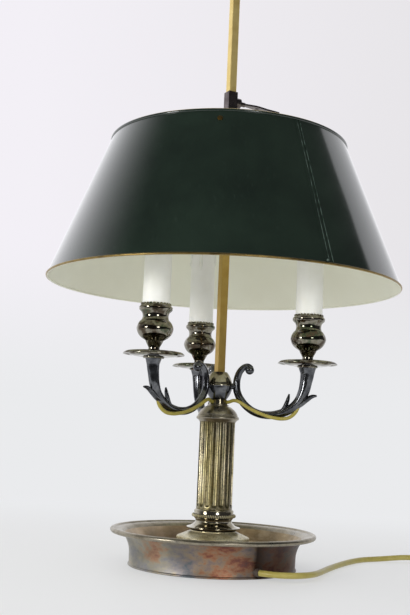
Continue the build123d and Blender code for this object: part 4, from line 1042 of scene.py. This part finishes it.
class LAMP_OT_shade(bpy.types.Operator):
    """Painted metal shade with its rolled edges and lap seam"""
    bl_idname = "lamp.shade"
    bl_label = "Shade"

    def execute(self, context):
        slope = (SHADE_BOTTOM_R - SHADE_TOP_R) / (SHADE_TOP_Z - SHADE_Z)
        heights = [SHADE_Z + (SHADE_TOP_Z - SHADE_Z) * n / SHADE_ROWS for n in range(SHADE_ROWS + 1)]
        outside = [(SHADE_BOTTOM_R - (z - SHADE_Z) * slope, z) for z in heights]
        inside = [(r - SHADE_SHEET, z) for r, z in reversed(outside)]
        shade = turn("shade_sheet", outside + inside, SHADE_STEPS)
        dress(shade, green_stove_enamel, cream_enamel)
        for face in shade.data.polygons:
            face.material_index = int(outward(face) < 0)
        ease(shade, 0, 40)
        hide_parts("shade_shell")
        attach(shade, "shade")
        self.seam(shade, slope)
        for name, node, r, z, size in (
                ("shade_lower_roll", "shade_bottom_wire", SHADE_BOTTOM_R - 0.4, SHADE_Z, 1.05),
                ("shade_upper_roll", "shade_top_wire", SHADE_TOP_R, SHADE_TOP_Z, 1.45)):
            turns = [2 * pi * n / 16 for n in range(16)]
            roll = turn(name, [(r + size * cos(a), z + size * sin(a)) for a in turns], SHADE_STEPS)
            ease(roll, 0, 60)
            low = name == "shade_lower_roll"
            dress(roll, gilt_edge if low else drawn_brass, cream_enamel if low else green_stove_enamel)
            # The upper roll is brass on top, bare brass and a painted highlight together, and green paint
            # elsewhere; the lower roll is gilt outside and cream inside.
            for face in roll.data.polygons:
                out = outward(face) > 0
                face.material_index = int(not out if low else face.normal.z < 0.75 and out)
            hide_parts(node)
            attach(roll, "shade")
        return {"FINISHED"}

    def seam(self, shade, slope):
        """The lap of the sheet: a raised band down the cone with two bright edges, painted as highlights in
        paler paint, soldered at the foot.
        """
        low, high = SHADE_Z + 1.2, SHADE_TOP_Z - 1.6
        foot, head = SHADE_BOTTOM_R - 1.2 * slope, SHADE_TOP_R + 1.6 * slope
        lap = sector("lap", [(foot - 0.2, low), (foot + 0.45, low), (head + 0.45, high), (head - 0.2, high)],
                     LAP_AT, LAP_ANGLE, 6)
        modify(lap, "BEVEL", width=0.22 * MM, segments=2, limit_method="ANGLE", angle_limit=radians(40))
        r, a = foot + 0.2, radians(SOLDER_AT)
        solder = ball(1.3, (r * cos(a), r * sin(a), low + 1.4), 12, 8)
        dress(lap, green_stove_enamel)
        dress(solder, worn_enamel_and_highlight)
        # Painted highlight: two thin strips of paler paint along the lap's edges.
        line = [(foot + 0.1, low), (foot + 0.6, low), (head + 0.6, high), (head + 0.1, high)]
        edges = [dress(sector("edge", line, start, 0.16, 2), worn_enamel_and_highlight) for start in LAP_EDGES_AT]
        join("shade_sheet", shade, lap, solder, *edges)


class LAMP_OT_finishes(bpy.types.Operator):
    """Materials of the pieces whose shape comes straight from the frame"""
    bl_idname = "lamp.finishes"
    bl_label = "Finishes"

    def execute(self, context):
        for maker, names in (
                (dulled_silver_plate, ["neck_ring"]), (drawn_brass, ["rod", "finial"]),
                (gilt_edge, ["spider_rivets", "spider"]), (aged_bronze, ["collar", "thumb_key"]),
                (yellowed_pvc_lead, ["arm_lead_" + name for name, _ in ARMS]),
                (gold_cord_sheath, ["mains_lead"]),
                (gold_moulded_plastic, ["switch_base", "switch_cover", "switch_rocker", "plug_body"]),
                (black_bakelite, ["lampholder_" + name for name, _ in ARMS] + ["terminal_block"]),
                (bright_steel, ["cup_tube_" + name for name, _ in ARMS]),
                (bright_steel, ["centre_tie", "base_washer", "base_nut"]),
                (nickel_pins, ["plug_pins"]), (green_felt, ["base_pad"]), (cast_iron, ["base_weight"]),
                (black_rubber, ["cord_bush"])):
            for name in names:
                dress(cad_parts[name], maker)
        return {"FINISHED"}


class LAMP_PT_panel(bpy.types.Panel):
    """Builds the lamp piece by piece"""
    bl_label = "Bouillotte Lamp"
    bl_idname = "LAMP_PT_panel"
    bl_space_type = "VIEW_3D"
    bl_region_type = "UI"
    bl_category = "Lamp"

    def draw(self, context):
        for group in (context.scene.lamp_sizes, context.scene.lamp_colours):
            box = self.layout.box()
            for name in group.__annotations__:
                box.prop(group, name)
        for step in STEPS:
            self.layout.operator(step.bl_idname)


STEPS = (LAMP_OT_stage, LAMP_OT_cord, LAMP_OT_dish, LAMP_OT_column, LAMP_OT_arms, LAMP_OT_cups,
         LAMP_OT_candles, LAMP_OT_shade, LAMP_OT_finishes)
CLASSES = (LampSizes, LampColours, *STEPS, LAMP_PT_panel)


def register():
    for item in CLASSES:
        bpy.utils.register_class(item)
    bpy.types.Scene.lamp_sizes = bpy.props.PointerProperty(type=LampSizes)
    bpy.types.Scene.lamp_colours = bpy.props.PointerProperty(type=LampColours)


def unregister():
    del bpy.types.Scene.lamp_colours
    del bpy.types.Scene.lamp_sizes
    for item in reversed(CLASSES):
        bpy.utils.unregister_class(item)


def main():
    register()
    bpy.ops.lamp.stage()
    bpy.ops.lamp.cord()
    bpy.ops.lamp.dish()
    bpy.ops.lamp.column()
    bpy.ops.lamp.arms()
    bpy.ops.lamp.cups()
    bpy.ops.lamp.candles()
    bpy.ops.lamp.shade()
    bpy.ops.lamp.finishes()
    clear()


if __name__ == "__main__":
    main()
